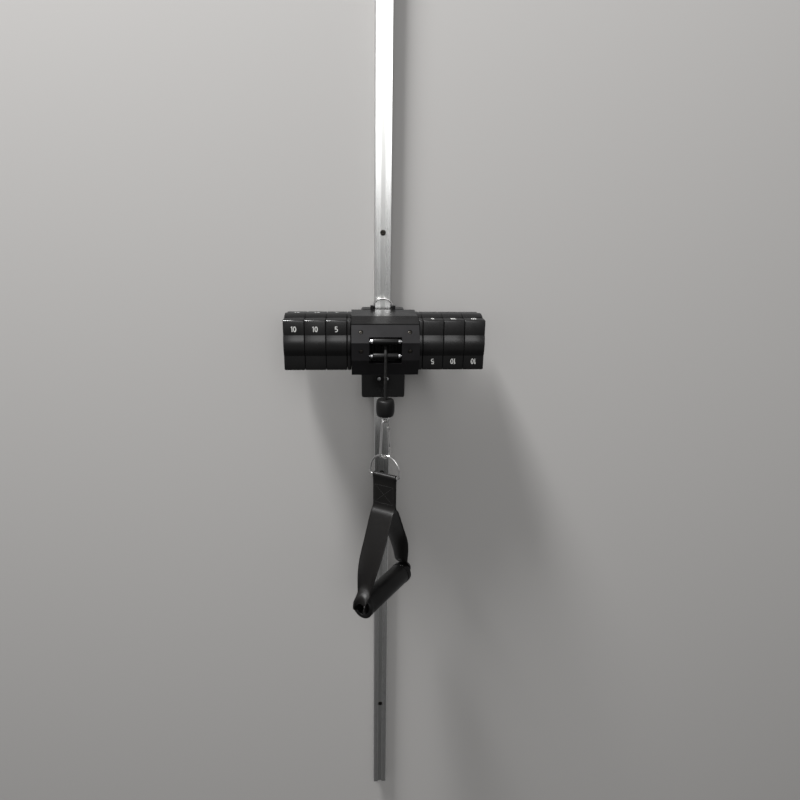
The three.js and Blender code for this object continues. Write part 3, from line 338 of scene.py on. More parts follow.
@dataclass(frozen=True)
class MouldedPlastic:
    """Injection-moulded plastic: a faint flow mottle, a fine skin, and paler specks on upward
    faces: a little dust and a painted sheen from the light above.
    """

    name: str
    colour: Colour
    roughness: float
    skin_size: float = 0.45 * MM
    skin_depth: float = 0.012 * MM
    # share of paler specks on upward faces: real dust and painted sheen
    dust: float = 0.0
    gloss: float = 0.3
    dust_colour: Colour = (0.20, 0.19, 0.175)
    dust_dulling: float = 0.3
    mottle_size: float = 14 * MM
    mottle_paleness: float = 1.5
    speck_size: float = 1.1 * MM
    smear_size: float = 38 * MM
    smear_stretch: Point = (1.0, 1.0, 0.4)

    def material(self) -> bpy.types.Material:
        """Build the finish."""
        sheet = NodeSheet(self.name)
        mottle = sheet.grain(self.mottle_size, detail=4.0).ramp(*NOISE_SPREAD)
        colour = sheet.tint(mottle, self.colour, scaled(self.colour, self.mottle_paleness))
        # paler specks on faces that point up: real dust, and painted sheen standing in for the
        # light from above
        up = sheet.part_of(sheet.node("ShaderNodeTexCoord", output="Normal"), "Z")
        specks = sheet.grain(self.speck_size, detail=6.0).ramp(0.35, 0.75)
        dust_and_sheen_share = up.ramp(0.15, 0.95) * specks * self.dust
        colour = sheet.tint(dust_and_sheen_share, colour, self.dust_colour)
        smears = sheet.grain(self.smear_size, self.smear_stretch, 5.0).ramp(0.35, 0.7, -0.05, 0.07)
        roughness = smears + self.roughness + dust_and_sheen_share * self.dust_dulling
        skin = sheet.bump(sheet.grain(self.skin_size), self.skin_depth)
        gloss = self.gloss
        return sheet.surface(
            Base_Color=colour, Roughness=roughness, Specular_IOR_Level=gloss, Normal=skin
        )


@dataclass(frozen=True)
class DrawnMetal:
    """Metal with a grain along one direction, and a slight cloudiness."""

    name: str
    colour: Colour
    roughness: float
    along: Axis = Axis.Z
    grain_size: float = 0.16 * MM
    grain_depth: float = 0.004 * MM
    grain_stretch: float = 0.012
    cloud: float = 0.10
    cloud_size: float = 55 * MM

    def material(self) -> bpy.types.Material:
        """Build the finish."""
        sheet = NodeSheet(self.name)
        stretch = tuple(self.grain_stretch if part else 1.0 for part in self.along.value)
        lines = sheet.grain(self.grain_size, stretch, 3.0)
        cloud = sheet.grain(self.cloud_size, detail=5.0).ramp(*NOISE_SPREAD)
        colour = sheet.tint(cloud, scaled(self.colour, 1.0 - self.cloud), self.colour)
        roughness = lines.ramp(*LINE_SPREAD) + cloud * 0.05 + self.roughness
        normal = sheet.bump(lines, self.grain_depth)
        return sheet.surface(Base_Color=colour, Metallic=1.0, Roughness=roughness, Normal=normal)


@dataclass(frozen=True)
class ExtrudedAluminium:
    """Satin aluminium with die lines along it, duller in the front groove and darker there: painted
    shade of the recess, with a little dirt.
    """

    name: str
    colour: Colour = (0.80, 0.80, 0.79)
    roughness: float = 0.25
    groove_half: float = 3.75 * MM
    groove_floor: float = 13.4 * MM
    grime: Colour = (0.53, 0.53, 0.52)
    dull_share: float = 0.9
    line_size: float = 0.16 * MM
    line_depth: float = 0.004 * MM
    broad_size: float = 1.7 * MM
    broad_depth: float = 0.012 * MM
    cloud_size: float = 60 * MM

    def groove(self, sheet: NodeSheet) -> Signal:
        """Where the front groove is, 1 in it and 0 outside; it places the painted groove shade."""
        point = sheet.place()
        side, out = sheet.part_of(point, "X"), sheet.part_of(point, "Y") * -1.0
        edge, floor = self.groove_half, self.groove_floor
        inside = side.size().ramp(edge - 1.2 * MM, edge + 0.1 * MM, 1.0, 0.0)
        return inside * out.ramp(floor, floor + 1.6 * MM, 1.0, 0.0)

    def material(self) -> bpy.types.Material:
        """Build the finish."""
        sheet = NodeSheet(self.name)
        groove = self.groove(sheet)
        lines = sheet.grain(self.line_size, (1.0, 1.0, 0.006), 3.0)
        broad = sheet.grain(self.broad_size, (1.0, 1.0, 0.004), 3.0).ramp(*NOISE_SPREAD)
        cloud = sheet.grain(self.cloud_size, (1.0, 1.0, 0.5), 5.0).ramp(*NOISE_SPREAD)
        dull = scaled(self.colour, self.dull_share)
        colour = sheet.tint(broad * 0.5 + cloud * 0.5, dull, self.colour)
        # darker colour in the groove: painted shade of the recess, with a little dirt
        colour = sheet.tint(groove * (cloud * 0.2 + 0.8), colour, self.grime)
        roughness = lines.ramp(*LINE_SPREAD) + broad * 0.06 + groove * 0.05 + self.roughness
        normal = sheet.bump(lines, self.line_depth, sheet.bump(broad, self.broad_depth))
        return sheet.surface(Base_Color=colour, Metallic=1.0, Roughness=roughness, Normal=normal)


@dataclass(frozen=True)
class PlatedMetal:
    """Bright plating or dark oxide on steel, with handling marks."""

    name: str
    colour: Colour
    roughness: float
    marks: float = 0.12
    mark_size: float = 2.2 * MM
    mark_darkness: float = 0.8
    grain_size: float = 0.6 * MM
    grain_depth: float = 0.003 * MM

    def material(self) -> bpy.types.Material:
        """Build the finish."""
        sheet = NodeSheet(self.name)
        marks = sheet.grain(self.mark_size, detail=6.0).ramp(0.45, 0.72)
        colour = sheet.tint(marks, self.colour, scaled(self.colour, self.mark_darkness))
        roughness = marks * self.marks + self.roughness
        normal = sheet.bump(sheet.grain(self.grain_size), self.grain_depth)
        return sheet.surface(Base_Color=colour, Metallic=1.0, Roughness=roughness, Normal=normal)


@dataclass(frozen=True)
class BraidedCord:
    """Filament bundles of a round braid, with a paler tracer and a little fuzz."""

    name: str
    colour: Colour
    tracer: Colour = (0.024, 0.023, 0.022)
    roughness: float = 0.68
    gloss: float = 0.25
    paleness: float = 1.9
    filament_size: float = 0.13 * MM
    filament_depth: float = 0.035 * MM
    fleck_size: float = 1.7 * MM
    fuzz_size: float = 0.5 * MM
    fuzz_depth: float = 0.03 * MM

    def material(self) -> bpy.types.Material:
        """Build the finish."""
        sheet = NodeSheet(self.name)
        filaments = sheet.grain(self.filament_size, (1.0, 1.0, 0.14), 3.0)
        inputs = {"Vector": sheet.place((1.0, 1.0, 0.42)), "Scale": 1.0 / self.fleck_size}
        cell = sheet.node("ShaderNodeTexVoronoi", inputs=inputs, output="Color")
        fleck = sheet.part_of(cell, "X").ramp(0.80, 0.88)
        pale = scaled(self.colour, self.paleness)
        colour = sheet.tint(filaments.ramp(0.35, 0.65), self.colour, pale)
        colour = sheet.tint(fleck * filaments.ramp(0.4, 0.6, 0.3, 0.9), colour, self.tracer)
        fuzz = sheet.bump(sheet.grain(self.fuzz_size, detail=5.0), self.fuzz_depth)
        normal = sheet.bump(filaments, self.filament_depth, fuzz)
        roughness = filaments * 0.1 + self.roughness
        return sheet.surface(
            Base_Color=colour, Roughness=roughness, Specular_IOR_Level=self.gloss, Normal=normal
        )


@dataclass(frozen=True)
class WovenWebbing:
    """Ribbed webbing, its weave laid out by the map that its mesh carries, with paler selvedges:
    worn fuzz and a painted sheen.
    """

    name: str
    colour: Colour
    half_width: float = 20.0 * MM
    rib: float = 1.15 * MM
    pick: float = 1.5 * MM
    depth: float = 0.035 * MM
    roughness: float = 0.34
    gloss: float = 0.27
    fluff: Colour = (0.030, 0.029, 0.028)
    paleness: float = 1.7
    thread_size: float = 0.12 * MM
    thread_depth: float = 0.012 * MM
    rub_size: float = 5.0 * MM

    def material(self) -> bpy.types.Material:
        """Build the finish."""
        sheet = NodeSheet(self.name)
        flat = sheet.node("ShaderNodeUVMap", {"uv_map": WEAVE_MAP})
        across, along = sheet.part_of(flat, "X"), sheet.part_of(flat, "Y")
        ribs = (across * (math.pi / self.rib)).sine().size()
        diagonal = along * (2 * math.pi / self.pick) + across * (math.pi / self.rib)
        weave = ribs * (diagonal.sine().ramp(-1.0, 1.0) * 0.45 + 0.55)
        threads = sheet.grain(self.thread_size, (1.0, 1.0, 0.2), 3.0)
        shown = weave * threads.ramp(0.3, 0.7, 0.5, 1.0)
        colour = sheet.tint(shown, self.colour, scaled(self.colour, self.paleness))
        # paler colour at the selvedges: worn fuzz, and painted sheen of the edge
        rubbed = sheet.grain(self.rub_size, detail=5.0).ramp(0.45, 0.7)
        edge = self.half_width
        selvedge = across.size().ramp(edge - 1.0 * MM, edge + 0.6 * MM, 0.0, 0.7)
        colour = sheet.tint(selvedge * rubbed, colour, self.fluff)
        roughness = rubbed * 0.08 + threads * 0.06 + self.roughness
        normal = sheet.bump(threads, self.thread_depth, sheet.bump(weave, self.depth))
        return sheet.surface(
            Base_Color=colour, Roughness=roughness, Specular_IOR_Level=self.gloss, Normal=normal
        )


@dataclass(frozen=True)
class PrintedMark:
    """Screen-printed paint, a little uneven and worn."""

    name: str
    colour: Colour = (0.62, 0.62, 0.60)
    worn_colour: Colour = (0.30, 0.30, 0.29)
    roughness: float = 0.45
    wear_size: float = 1.4 * MM
    grain_size: float = 0.25 * MM
    grain_depth: float = 0.006 * MM

    def material(self) -> bpy.types.Material:
        """Build the finish."""
        sheet = NodeSheet(self.name)
        wear = sheet.grain(self.wear_size, detail=5.0).ramp(0.52, 0.78)
        colour = sheet.tint(wear, self.colour, self.worn_colour)
        normal = sheet.bump(sheet.grain(self.grain_size), self.grain_depth)
        roughness = wear * 0.2 + self.roughness
        return sheet.surface(Base_Color=colour, Roughness=roughness, Normal=normal)


THREAD = MouldedPlastic("black_thread", (0.010, 0.0098, 0.0095), 0.5, 0.2 * MM, 0.02 * MM)
SHELL_BLACK = (0.0028, 0.0026, 0.0026)
COVER_GREY = (0.0060, 0.0057, 0.0062)
INNER_BLACK = (0.0032, 0.0031, 0.0031)
RUBBER_BLACK = (0.0042, 0.0040, 0.0039)
SLOT_FINISHES = {
    "rail_aluminium": ExtrudedAluminium("satin_aluminium"),
    "shell_plastic": MouldedPlastic("gloss_black_shell", SHELL_BLACK, 0.25, dust=0.006, gloss=0.46),
    "cover_plastic": MouldedPlastic("satin_grey_cover", COVER_GREY, 0.48, dust=0.008, gloss=0.11),
    "steel": PlatedMetal("bright_steel", (0.60, 0.60, 0.61), 0.24),
    "black_oxide_steel": PlatedMetal("oxide_steel", (0.040, 0.037, 0.033), 0.36),
    "spring_steel": DrawnMetal("spring_strip", (0.25, 0.26, 0.28), 0.30, Axis.Y),
    "chrome": PlatedMetal("chrome_plate", (0.74, 0.73, 0.72), 0.07, 0.08),
    "inner_plastic": MouldedPlastic("smooth_black_plastic", INNER_BLACK, 0.36, gloss=0.2),
    "liner_plastic": MouldedPlastic("pale_liner_plastic", (0.70, 0.69, 0.64), 0.45),
    "rope": BraidedCord("braided_rope", (0.0042, 0.0041, 0.0040)),
    "rubber": MouldedPlastic(
        "black_rubber", RUBBER_BLACK, 0.45, 0.7 * MM, 0.02 * MM, dust=0.004, gloss=0.24
    ),
    "webbing": WovenWebbing("woven_webbing", (0.0038, 0.0034, 0.0032)),
}


# Mesh building, in millimetres in the object's frame until the mesh is made


class Star:
    """A radius that changes with the angle round an axis, for sockets and recesses."""

    def __init__(self, reach: Callable[[float], float], corners: Sequence[float]) -> None:
        """Keep the radius function.

        Args:
            reach: The radius at an angle.
            corners: The angles at which the outline has corners.
        """
        self.reach = reach
        self.corners = tuple(corners)

    @classmethod
    def hexagon(cls, across_flats: float) -> "Star":
        """A hexagon by its size across the flats."""
        sixth = math.pi / 3

        def reach(turn: float) -> float:
            """The hexagon's radius at an angle."""
            return across_flats / 2 / math.cos((turn % sixth) - sixth / 2)

        return cls(reach, [sixth * i for i in range(6)])

    @classmethod
    def cross(cls, length: float, width: float) -> "Star":
        """A cross of two slots by their length and width."""
        quarter = math.pi / 2
        edge = math.atan2(width, length)

        def reach(turn: float) -> float:
            """The cross's radius at an angle."""
            off = abs(((turn + quarter / 2) % quarter) - quarter / 2)
            return length / 2 / math.cos(off) if off < edge else width / 2 / math.sin(off)

        corners = [quarter * i + part for i in range(4) for part in (-edge, edge, quarter / 2)]
        return cls(reach, corners)


def unit(angle: float) -> tuple[float, float]:
    """The point at an angle on a circle of radius one."""
    return math.cos(angle), math.sin(angle)


def mix(first: float, second: float, share: float) -> float:
    """The number at a share of the way between two."""
    return first + (second - first) * share


def ease(value: float, start: float, end: float) -> float:
    """A smooth share, 0 at and before start and 1 at and after end."""
    share = min(max((value - start) / (end - start), 0.0), 1.0)
    return share * share * (3.0 - 2.0 * share)


def units(start: float, end: float, steps: int) -> Outline:
    """Points of the circle of radius one between two angles in degrees, both ends included."""
    return [unit(math.radians(mix(start, end, i / steps))) for i in range(steps + 1)]


def around(sides: int) -> Outline:
    """Evenly spaced points of the whole circle of radius one."""
    return units(0, 360, sides)[:-1]


def arc(
    centre: tuple[float, float], radius: float, start: float, end: float, steps: int
) -> Outline:
    """Points of an arc.

    Args:
        centre: Its middle.
        radius: Its radius.
        start: The angle it starts at, in degrees.
        end: The angle it ends at, in degrees.
        steps: The number of its steps.

    Returns:
        The points, both ends included.
    """
    turned = units(start, end, steps)
    return [(centre[0] + radius * across, centre[1] + radius * up) for across, up in turned]


def upright(outline: Iterable[tuple[float, float]], y: float = 0.0) -> list[Vector]:
    """An outline across and up, stood in a plane across Y."""
    return [Vector((across, y, up)) for across, up in outline]


def headings(yaw: float) -> tuple[Vector, Vector]:
    """The level direction at a turn about the vertical, and the level one across it."""
    x, y = unit(yaw)
    return Vector((x, y, 0.0)), Vector((-y, x, 0.0))


def stand(standoff: float, yaw: float = 0.0, height: float = 0.0) -> Matrix:
    """A place at a distance from the wall, turned about the vertical."""
    return Matrix.Translation((0.0, -standoff, height)) @ Matrix.Rotation(yaw, 4, "Z")


def mirrored(end: Sequence[tuple[float | Star, ...]]) -> list[tuple[float | Star, ...]]:
    """A profile that is the same at both ends, from its half at the far end."""
    return [(corner[0], -corner[1], *corner[2:]) for corner in end] + list(reversed(end))


def rounded(
    corners: Sequence[tuple[float, ...]], steps: int = 3, closed: bool = False
) -> Outline:
    """Round the corners of an outline or of a turned profile.

    Args:
        corners: Its corners, each with a radius after its two coordinates where it is rounded.
        steps: The steps of each rounded corner.
        closed: Whether the outline goes round; an open one keeps its two ends.

    Returns:
        The rounded outline.
    """
    points: Outline = []
    last = len(corners) - 1
    for i, corner in enumerate(corners):
        here = Vector(corner[:2])
        radius = corner[2] if len(corner) > 2 else 0.0
        if not radius or (not closed and i in (0, last)):
            points.append((here.x, here.y))
            continue
        back = (Vector(corners[i - 1][:2]) - here).normalized()
        ahead = (Vector(corners[(i + 1) % len(corners)][:2]) - here).normalized()
        half = math.acos(min(max(back.dot(ahead), -1.0), 1.0)) / 2
        centre = here + (back + ahead).normalized() * (radius / math.sin(half))
        start = here + back * (radius / math.tan(half)) - centre
        end = here + ahead * (radius / math.tan(half)) - centre
        first = math.atan2(start.y, start.x)
        sweep = (math.atan2(end.y, end.x) - first + math.pi) % (2 * math.pi) - math.pi
        for k in range(steps + 1):
            across, up = unit(first + sweep * k / steps)
            points.append((centre.x + radius * across, centre.y + radius * up))
    return points


def through(stations: Sequence[Vector], steps: int) -> list[Vector]:
    """A smooth line through stations.

    Args:
        stations: The points it passes.
        steps: The steps between two of them.

    Returns:
        The finer points, both ends included.
    """
    points = []
    last = len(stations) - 1
    for i in range(last):
        before, here = stations[max(i - 1, 0)], stations[i]
        after, beyond = stations[i + 1], stations[min(i + 2, last)]
        for k in range(steps):
            t = k / steps
            near = (2 * t**3 - 3 * t**2 + 1) * here + (t**3 - 2 * t**2 + t) * (after - before) / 2
            far = (3 * t**2 - 2 * t**3) * after + (t**3 - t**2) * (beyond - here) / 2
            points.append(near + far)
    return [*points, stations[last].copy()]


@dataclass(frozen=True)
class Lathe:
    """Turns profiles about an axis."""

    along: Axis
    centre: Point = (0.0, 0.0, 0.0)
    sides: int = 48
    least_turn: float = 1e-4

    def rings(self, profile: Sequence[tuple[float | Star, float]]) -> list[Ring]:
        """The rings of a turned form.

        Args:
            profile: Radii, or stars, with their places along the axis.

        Returns:
            One ring for each entry.
        """
        stars = [radius for radius, _ in profile if isinstance(radius, Star)]
        turns = {2 * math.pi * i / self.sides for i in range(self.sides)}
        turns |= {corner % (2 * math.pi) for star in stars for corner in star.corners}
        ordered: list[float] = []
        for turn in sorted(turns):
            if not ordered or turn - ordered[-1] > self.least_turn:
                ordered.append(turn)
        axis = self.along.vector
        side = (Axis.Z.vector if abs(axis.z) < 0.9 else Axis.X.vector).cross(axis).normalized()
        up = axis.cross(side)
        rings = []
        for radius, height in profile:
            ring = []
            for turn in ordered:
                reach = radius.reach(turn) if isinstance(radius, Star) else radius
                out = math.cos(turn) * side + math.sin(turn) * up
                ring.append(Vector(self.centre) + axis * height + out * reach)
            rings.append(ring)
        return rings


def wire_rings(
    points: Sequence[Vector],
    radius: float,
    normal: Vector,
    sides: int = 20,
    endless: bool = False,
    edge: float = 0.0,
    flats: Sequence[float] | None = None,
) -> list[Ring]:
    """Rings of a round wire that lies in one plane.

    Args:
        points: The wire's middle line.
        radius: Its radius.
        normal: The plane's normal.
        sides: The points of each ring.
        endless: Whether it closes on itself.
        edge: How far its two ends are rounded.
        flats: The half thickness along the normal at each point, where it is flattened.

    Returns:
        The rings.
    """
    count = len(points)
    rings: list[Ring] = []
    for i, point in enumerate(points):
        before = points[i - 1] if endless or i else points[0]
        after = points[(i + 1) % count] if endless or i < count - 1 else points[-1]
        tangent = (after - before).normalized()
        side = normal.cross(tangent).normalized()
        thick = flats[i] if flats else radius
        cuts = [(0.0, 0.0)]
        if edge and not endless and i in (0, count - 1):
            turns = (0.0, 0.55, 1.05, math.pi / 2)
            cuts = [(edge * (1 - s), edge * (1 - c)) for c, s in map(unit, turns)]
            if i == 0:
                cuts.reverse()
        inwards = tangent if i == 0 else -tangent
        for back, inset in cuts:
            middle = point + inwards * back
            wide, high = side * (radius - inset), normal * (thick - inset)
            rings.append([middle + wide * across + high * up for across, up in around(sides)])
    return rings


class Skin:
    """Closed forms gathered into one mesh."""

    def __init__(self) -> None:
        """Start with nothing."""
        self.points: list[Vector] = []
        self.faces: list[tuple[int, ...]] = []

    def add(self, points: Iterable[Vector], faces: Iterable[Sequence[int]]) -> "Skin":
        """Add points and the faces between them.

        Args:
            points: The points.
            faces: The faces, counted from the first of these points.

        Returns:
            The skin itself.
        """
        base = len(self.points)
        self.points.extend(points)
        self.faces.extend(tuple(base + i for i in face) for face in faces)
        return self

    def loft(self, rings: Sequence[Ring], endless: bool = False, capped: bool = True) -> "Skin":
        """Join rings into a skin.

        Args:
            rings: Rings of equally many points.
            endless: Whether the last ring joins the first.
            capped: Whether the first and last rings are closed.

        Returns:
            The skin itself.
        """
        count = len(rings[0])
        faces: list[tuple[int, ...]] = []
        for i in range(len(rings) if endless else len(rings) - 1):
            here, there = i * count, (i + 1) % len(rings) * count
            for k in range(count):
                after = (k + 1) % count
                faces.append((here + k, here + after, there + after, there + k))
        if capped and not endless:
            last = (len(rings) - 1) * count
            faces.append(tuple(reversed(range(count))))
            faces.append(tuple(range(last, last + count)))
        return self.add([point for ring in rings for point in ring], faces)

    def plate(self, loops: Sequence[Ring]) -> "Skin":
        """Fill a flat outline that may have holes.

        Args:
            loops: The outline, and then its holes.

        Returns:
            The skin itself.
        """
        return self.add([point for loop in loops for point in loop], tessellate_polygon(loops))

    def mesh(
        self,
        name: str,
        place: Matrix | None = None,
        crease: float = 35.0,
        strips: Sequence[tuple[float, float]] = (),
    ) -> bpy.types.Mesh:
        """Make the mesh.

        Args:
            name: The mesh's name.
            place: Where it stands, in millimetres.
            crease: The angle above which an edge is sharp, in degrees.
            strips: For cloth, each point's place across and along it, in metres.

        Returns:
            The mesh.
        """
        where = place or Matrix()
        mesh = bpy.data.meshes.new(name)
        mesh.from_pydata([(where @ point) * MM for point in self.points], [], self.faces)
        if strips:
            layer = mesh.uv_layers.new(name=WEAVE_MAP)
            for loop in mesh.loops:
                layer.data[loop.index].uv = strips[loop.vertex_index]
        form = bmesh.new()
        form.from_mesh(mesh)
        if not strips:
            bmesh.ops.remove_doubles(form, verts=form.verts, dist=WELD_DISTANCE)
        bmesh.ops.recalc_face_normals(form, faces=form.faces)
        for face in form.faces:
            face.smooth = True
        form.to_mesh(mesh)
        form.free()
        mesh.set_sharp_from_angle(angle=math.radians(crease))
        return mesh


class Workshop:
    """Gives each piece its body, its finish and the node it stands for."""

    def __init__(self) -> None:
        """Read which body each node is on, and build every slot's finish."""
        bodies = frame["record"]["behaviour"]["bodies"]
        self.body_of = {node: body for body, nodes in bodies.items() for node in nodes}
        self.slot_of = {part["node"]: part["material_slot"] for part in frame["record"]["subparts"]}
        self.finishes = {slot: finish.material() for slot, finish in SLOT_FINISHES.items()}
        for node, slot in self.slot_of.items():
            mesh = frame["nodes"][node].data
            mesh.materials.clear()
            mesh.materials.append(self.finishes[slot])

    def fine(
        self,
        node: str,
        skin: Skin,
        place: Matrix | None = None,
        crease: float = 35.0,
        strips: Sequence[tuple[float, float]] = (),
        rides: bool = True,
    ) -> bpy.types.Object:
        """rides: Whether it rides on the node's body; a piece that doesn't stays where it is built.

        Returns:
            The new piece.
        """
        body = self.body_of[node] if rides else ""
        mesh = skin.mesh(node, place, crease, strips)
        made = self.extra(f"fine_{node}", mesh, body, self.slot_of[node])
        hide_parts(node)
        return made

    def turned(
        self,
        node: str,
        lathe: Lathe,
        profile: Sequence[tuple[float | Star, float]],
        place: Matrix | None = None,
        endless: bool = False,
        crease: float = 35.0,
    ) -> None:
        """Put a turned piece in a node's stead.

        Args:
            node: The node it stands for.
            lathe: The axis it is turned about.
            profile: Its profile, which ends on the axis or goes round.
            place: Where it stands, in millimetres.
            endless: Whether the profile goes round.
            crease: The angle above which an edge is sharp, in degrees.
        """
        form = Skin().loft(lathe.rings(profile), endless, capped=False)
        self.fine(node, form, place, crease)

    def extra(self, name: str, mesh: bpy.types.Mesh, body: str, slot: str) -> bpy.types.Object:
        """Add a piece.

        Args:
            name: The piece's name.
            mesh: Its mesh.
            body: The body it rides on, or nothing where it rides on none.
            slot: The slot its finish comes from.

        Returns:
            The new piece.
        """
        if not mesh.materials:
            mesh.materials.append(self.finishes[slot])
        made = bpy.data.objects.new(name, mesh)
        bpy.context.scene.collection.objects.link(made)
        if body:
            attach(made, body)
        log.info("%s: %d faces", name, len(mesh.polygons))
        return made

    def soften(self, node: str, width: float, steps: int = 2) -> None:
        """Round a node's own edges with modifiers, as a mould or a tumbler leaves them.

        Args:
            node: The node, which keeps its mesh.
            width: The width of the rounding, in millimetres.
            steps: The faces across it.
        """
        piece = frame["nodes"][node]
        bevel = {
            "limit_method": "ANGLE",
            "angle_limit": math.radians(28.0),
            "width": width * MM,
            "segments": steps,
        }
        flat = {"decimate_type": "DISSOLVE", "angle_limit": math.radians(0.7)}
        even = {"mode": "FACE_AREA_WITH_ANGLE", "weight": 90}
        for name, kind, settings in (
            ("weld", "WELD", {"merge_threshold": 2e-6}),
            ("flat_faces", "DECIMATE", flat),
            ("rounded_edges", "BEVEL", bevel),
            ("even_shading", "WEIGHTED_NORMAL", even),
        ):
            modifier = piece.modifiers.new(name, kind)
            for key, value in settings.items():
                setattr(modifier, key, value)
        log.info("%s: edges rounded by %.2f mm", node, width)


# Sub-assemblies

# Measures that several of them share, in millimetres
SEAT_GAP = 0.3  # between two pieces that touch
SHAFT_STANDOFF = 63.5  # the drive shaft's distance from the wall
HANG_STANDOFF = 123.0  # the distance from the wall of all that hangs
ROLLER_STANDOFF = 115.2
LOWER_ROLLER_HEIGHT = -12.6
ROPE_RADIUS = 2.3


@dataclass
class Rail:
    """Two aluminium sections, their dowel and four socket screws."""

    section: float = 914.4
    hole_from_end: float = 203.2
    joint_height: float = -45.0
    pin_radius: float = 2.2
    pin_length: float = 40.0
    pin_standoff: float = 7.15
    head_radius: float = 4.3
    head_height: float = 2.8
    head_front: float = 13.7
    shank_radius: float = 2.2
    screw_length: float = 45.0
    tip_length: float = 7.0
    key_flats: float = 3.3
    key_depth: float = 1.6
    thread_pitch: float = 1.6
    thread_depth: float = 0.45

    def screw(self, node: str, height: float, shop: Workshop) -> None:
        """A low-head socket screw with a rolled thread on its shank.

        Args:
            node: The node it stands for.
            height: Its height.
            shop: The workshop.
        """
        socket, head, neck = Star.hexagon(self.key_flats), self.head_radius, self.shank_radius
        profile: list[tuple[float | Star, float]] = [
            (0.0, self.key_depth + 0.4),
            (socket, self.key_depth),
            (socket, 0.0),
            *rounded([(head / 2, 0.0), (head, 0.0, 0.6), (head, self.head_height)])[1:],
            (neck, self.head_height),
        ]
        pitch, thread_end = self.thread_pitch, self.screw_length - self.tip_length
        for i in range(int((thread_end - self.head_height) / pitch)):
            start = self.head_height + pitch / 2 + pitch * i
            profile += [(neck, start), (neck - self.thread_depth, start + pitch / 2)]
        profile += [(neck, thread_end), (0.0, self.screw_length)]
        shop.turned(node, Lathe(Axis.Y, (0.0, -self.head_front, height), 36), profile)

    def build(self, shop: Workshop) -> None:
        """Build the rail."""
        for node in ("rail_lower", "rail_upper"):
            shop.soften(node, 0.35)
        feet = (self.joint_height - self.section, self.joint_height)
        holes = (self.hole_from_end, self.section - self.hole_from_end)
        for i, height in enumerate(foot + out for foot in feet for out in holes):
            self.screw(f"wall_screw_{i + 1}", height, shop)
        half = self.pin_length / 2
        pin = Lathe(Axis.Z, (0.0, -self.pin_standoff, self.joint_height), 32)
        outline = mirrored([(0.0, half), (self.pin_radius, half, 0.5)])
        shop.turned("rail_joint_pin", pin, rounded(outline))


@dataclass
class PanScrew:
    """A small pan-head screw with a cross recess."""

    head_radius: float = 3.1
    head_height: float = 2.2
    shank_radius: float = 1.5
    length: float = 14.0
    cross_length: float = 3.8
    cross_width: float = 0.9
    cross_depth: float = 1.2
    cross_taper: tuple[float, float] = (0.62, 0.8)

    def build(self, node: str, place: Point, tilt: float, shop: Workshop) -> None:
        """Build one screw.

        Args:
            node: The node it stands for.
            place: The middle of its head's front.
            tilt: How far it is turned about X, in radians.
            shop: The workshop.
        """
        shorter, narrower = self.cross_taper
        wide = Star.cross(self.cross_length, self.cross_width)
        deep = Star.cross(self.cross_length * shorter, self.cross_width * narrower)
        head, dome, shank = self.head_radius, self.head_height / 3, self.shank_radius
        profile: list[tuple[float | Star, float]] = [
            (0.0, self.cross_depth),
            (deep, self.cross_depth),
            (wide, 0.0),
            (head * 0.68, 0.0),
            (head * 0.86, dome * 0.28),
            (head, dome),
            (head, self.head_height),
            (shank, self.head_height),
            (shank, self.length),
            (0.0, self.length),
        ]
        turn = Matrix.Translation(Vector(place)) @ Matrix.Rotation(-tilt, 4, "X")
        shop.turned(node, Lathe(Axis.Y, sides=36), profile, turn)


@dataclass
class CarriageBlock:
    """The block on the rail with its liners, tail screws and the wire lock."""

    tail_front: float = 50.0
    screw_inset: float = 0.5
    screw_half_span: float = 6.4
    screw_height: float = -67.0
    wire_radius: float = 1.5
    wire_half_span: float = 14.6
    wire_standoff: float = 21.2
    foot_height: float = 28.0
    foot_end: float = 4.75
    arch_spring: float = 46.7
    arch_rise: float = 11.0
    arch_steps: int = 40

    def pull(self, shop: Workshop) -> None:
        """Bend the lock's wire: two feet, two legs and a half-ellipse over the block."""
        span, bend = self.wire_half_span, 2 * self.wire_radius
        half_turn = units(0, 180, self.arch_steps)
        arch = [(span * a, self.arch_spring + self.arch_rise * b) for a, b in half_turn]
        foot = self.foot_height + bend
        corner = arc((span - bend, foot), bend, -90, 0, 8)
        leg = [(span, mix(foot, self.arch_spring, share)) for share in (0.3, 0.7)]
        right = [(self.foot_end, self.foot_height), *corner, *leg]
        left = [(-x, z) for x, z in reversed(right)]
        points = upright([*right, *arch, *left], -self.wire_standoff)
        rings = wire_rings(points, self.wire_radius, Axis.Y.vector, edge=0.4)
        shop.fine("lock_pull", Skin().loft(rings))

    def build(self, shop: Workshop) -> None:
        """Build the block's pieces."""
        shop.soften("carriage_block", 0.7, 3)
        for side in Side:
            shop.soften(f"glide_liner_{side.word}", 0.25)
        shop.soften("lock_wedge", 0.4)
        y = -self.tail_front + self.screw_inset
        for i, side in enumerate(Side):
            place = (side.value * self.screw_half_span, y, self.screw_height)
            PanScrew().build(f"tail_screw_{i + 1}", place, 0.0, shop)
        self.pull(shop)


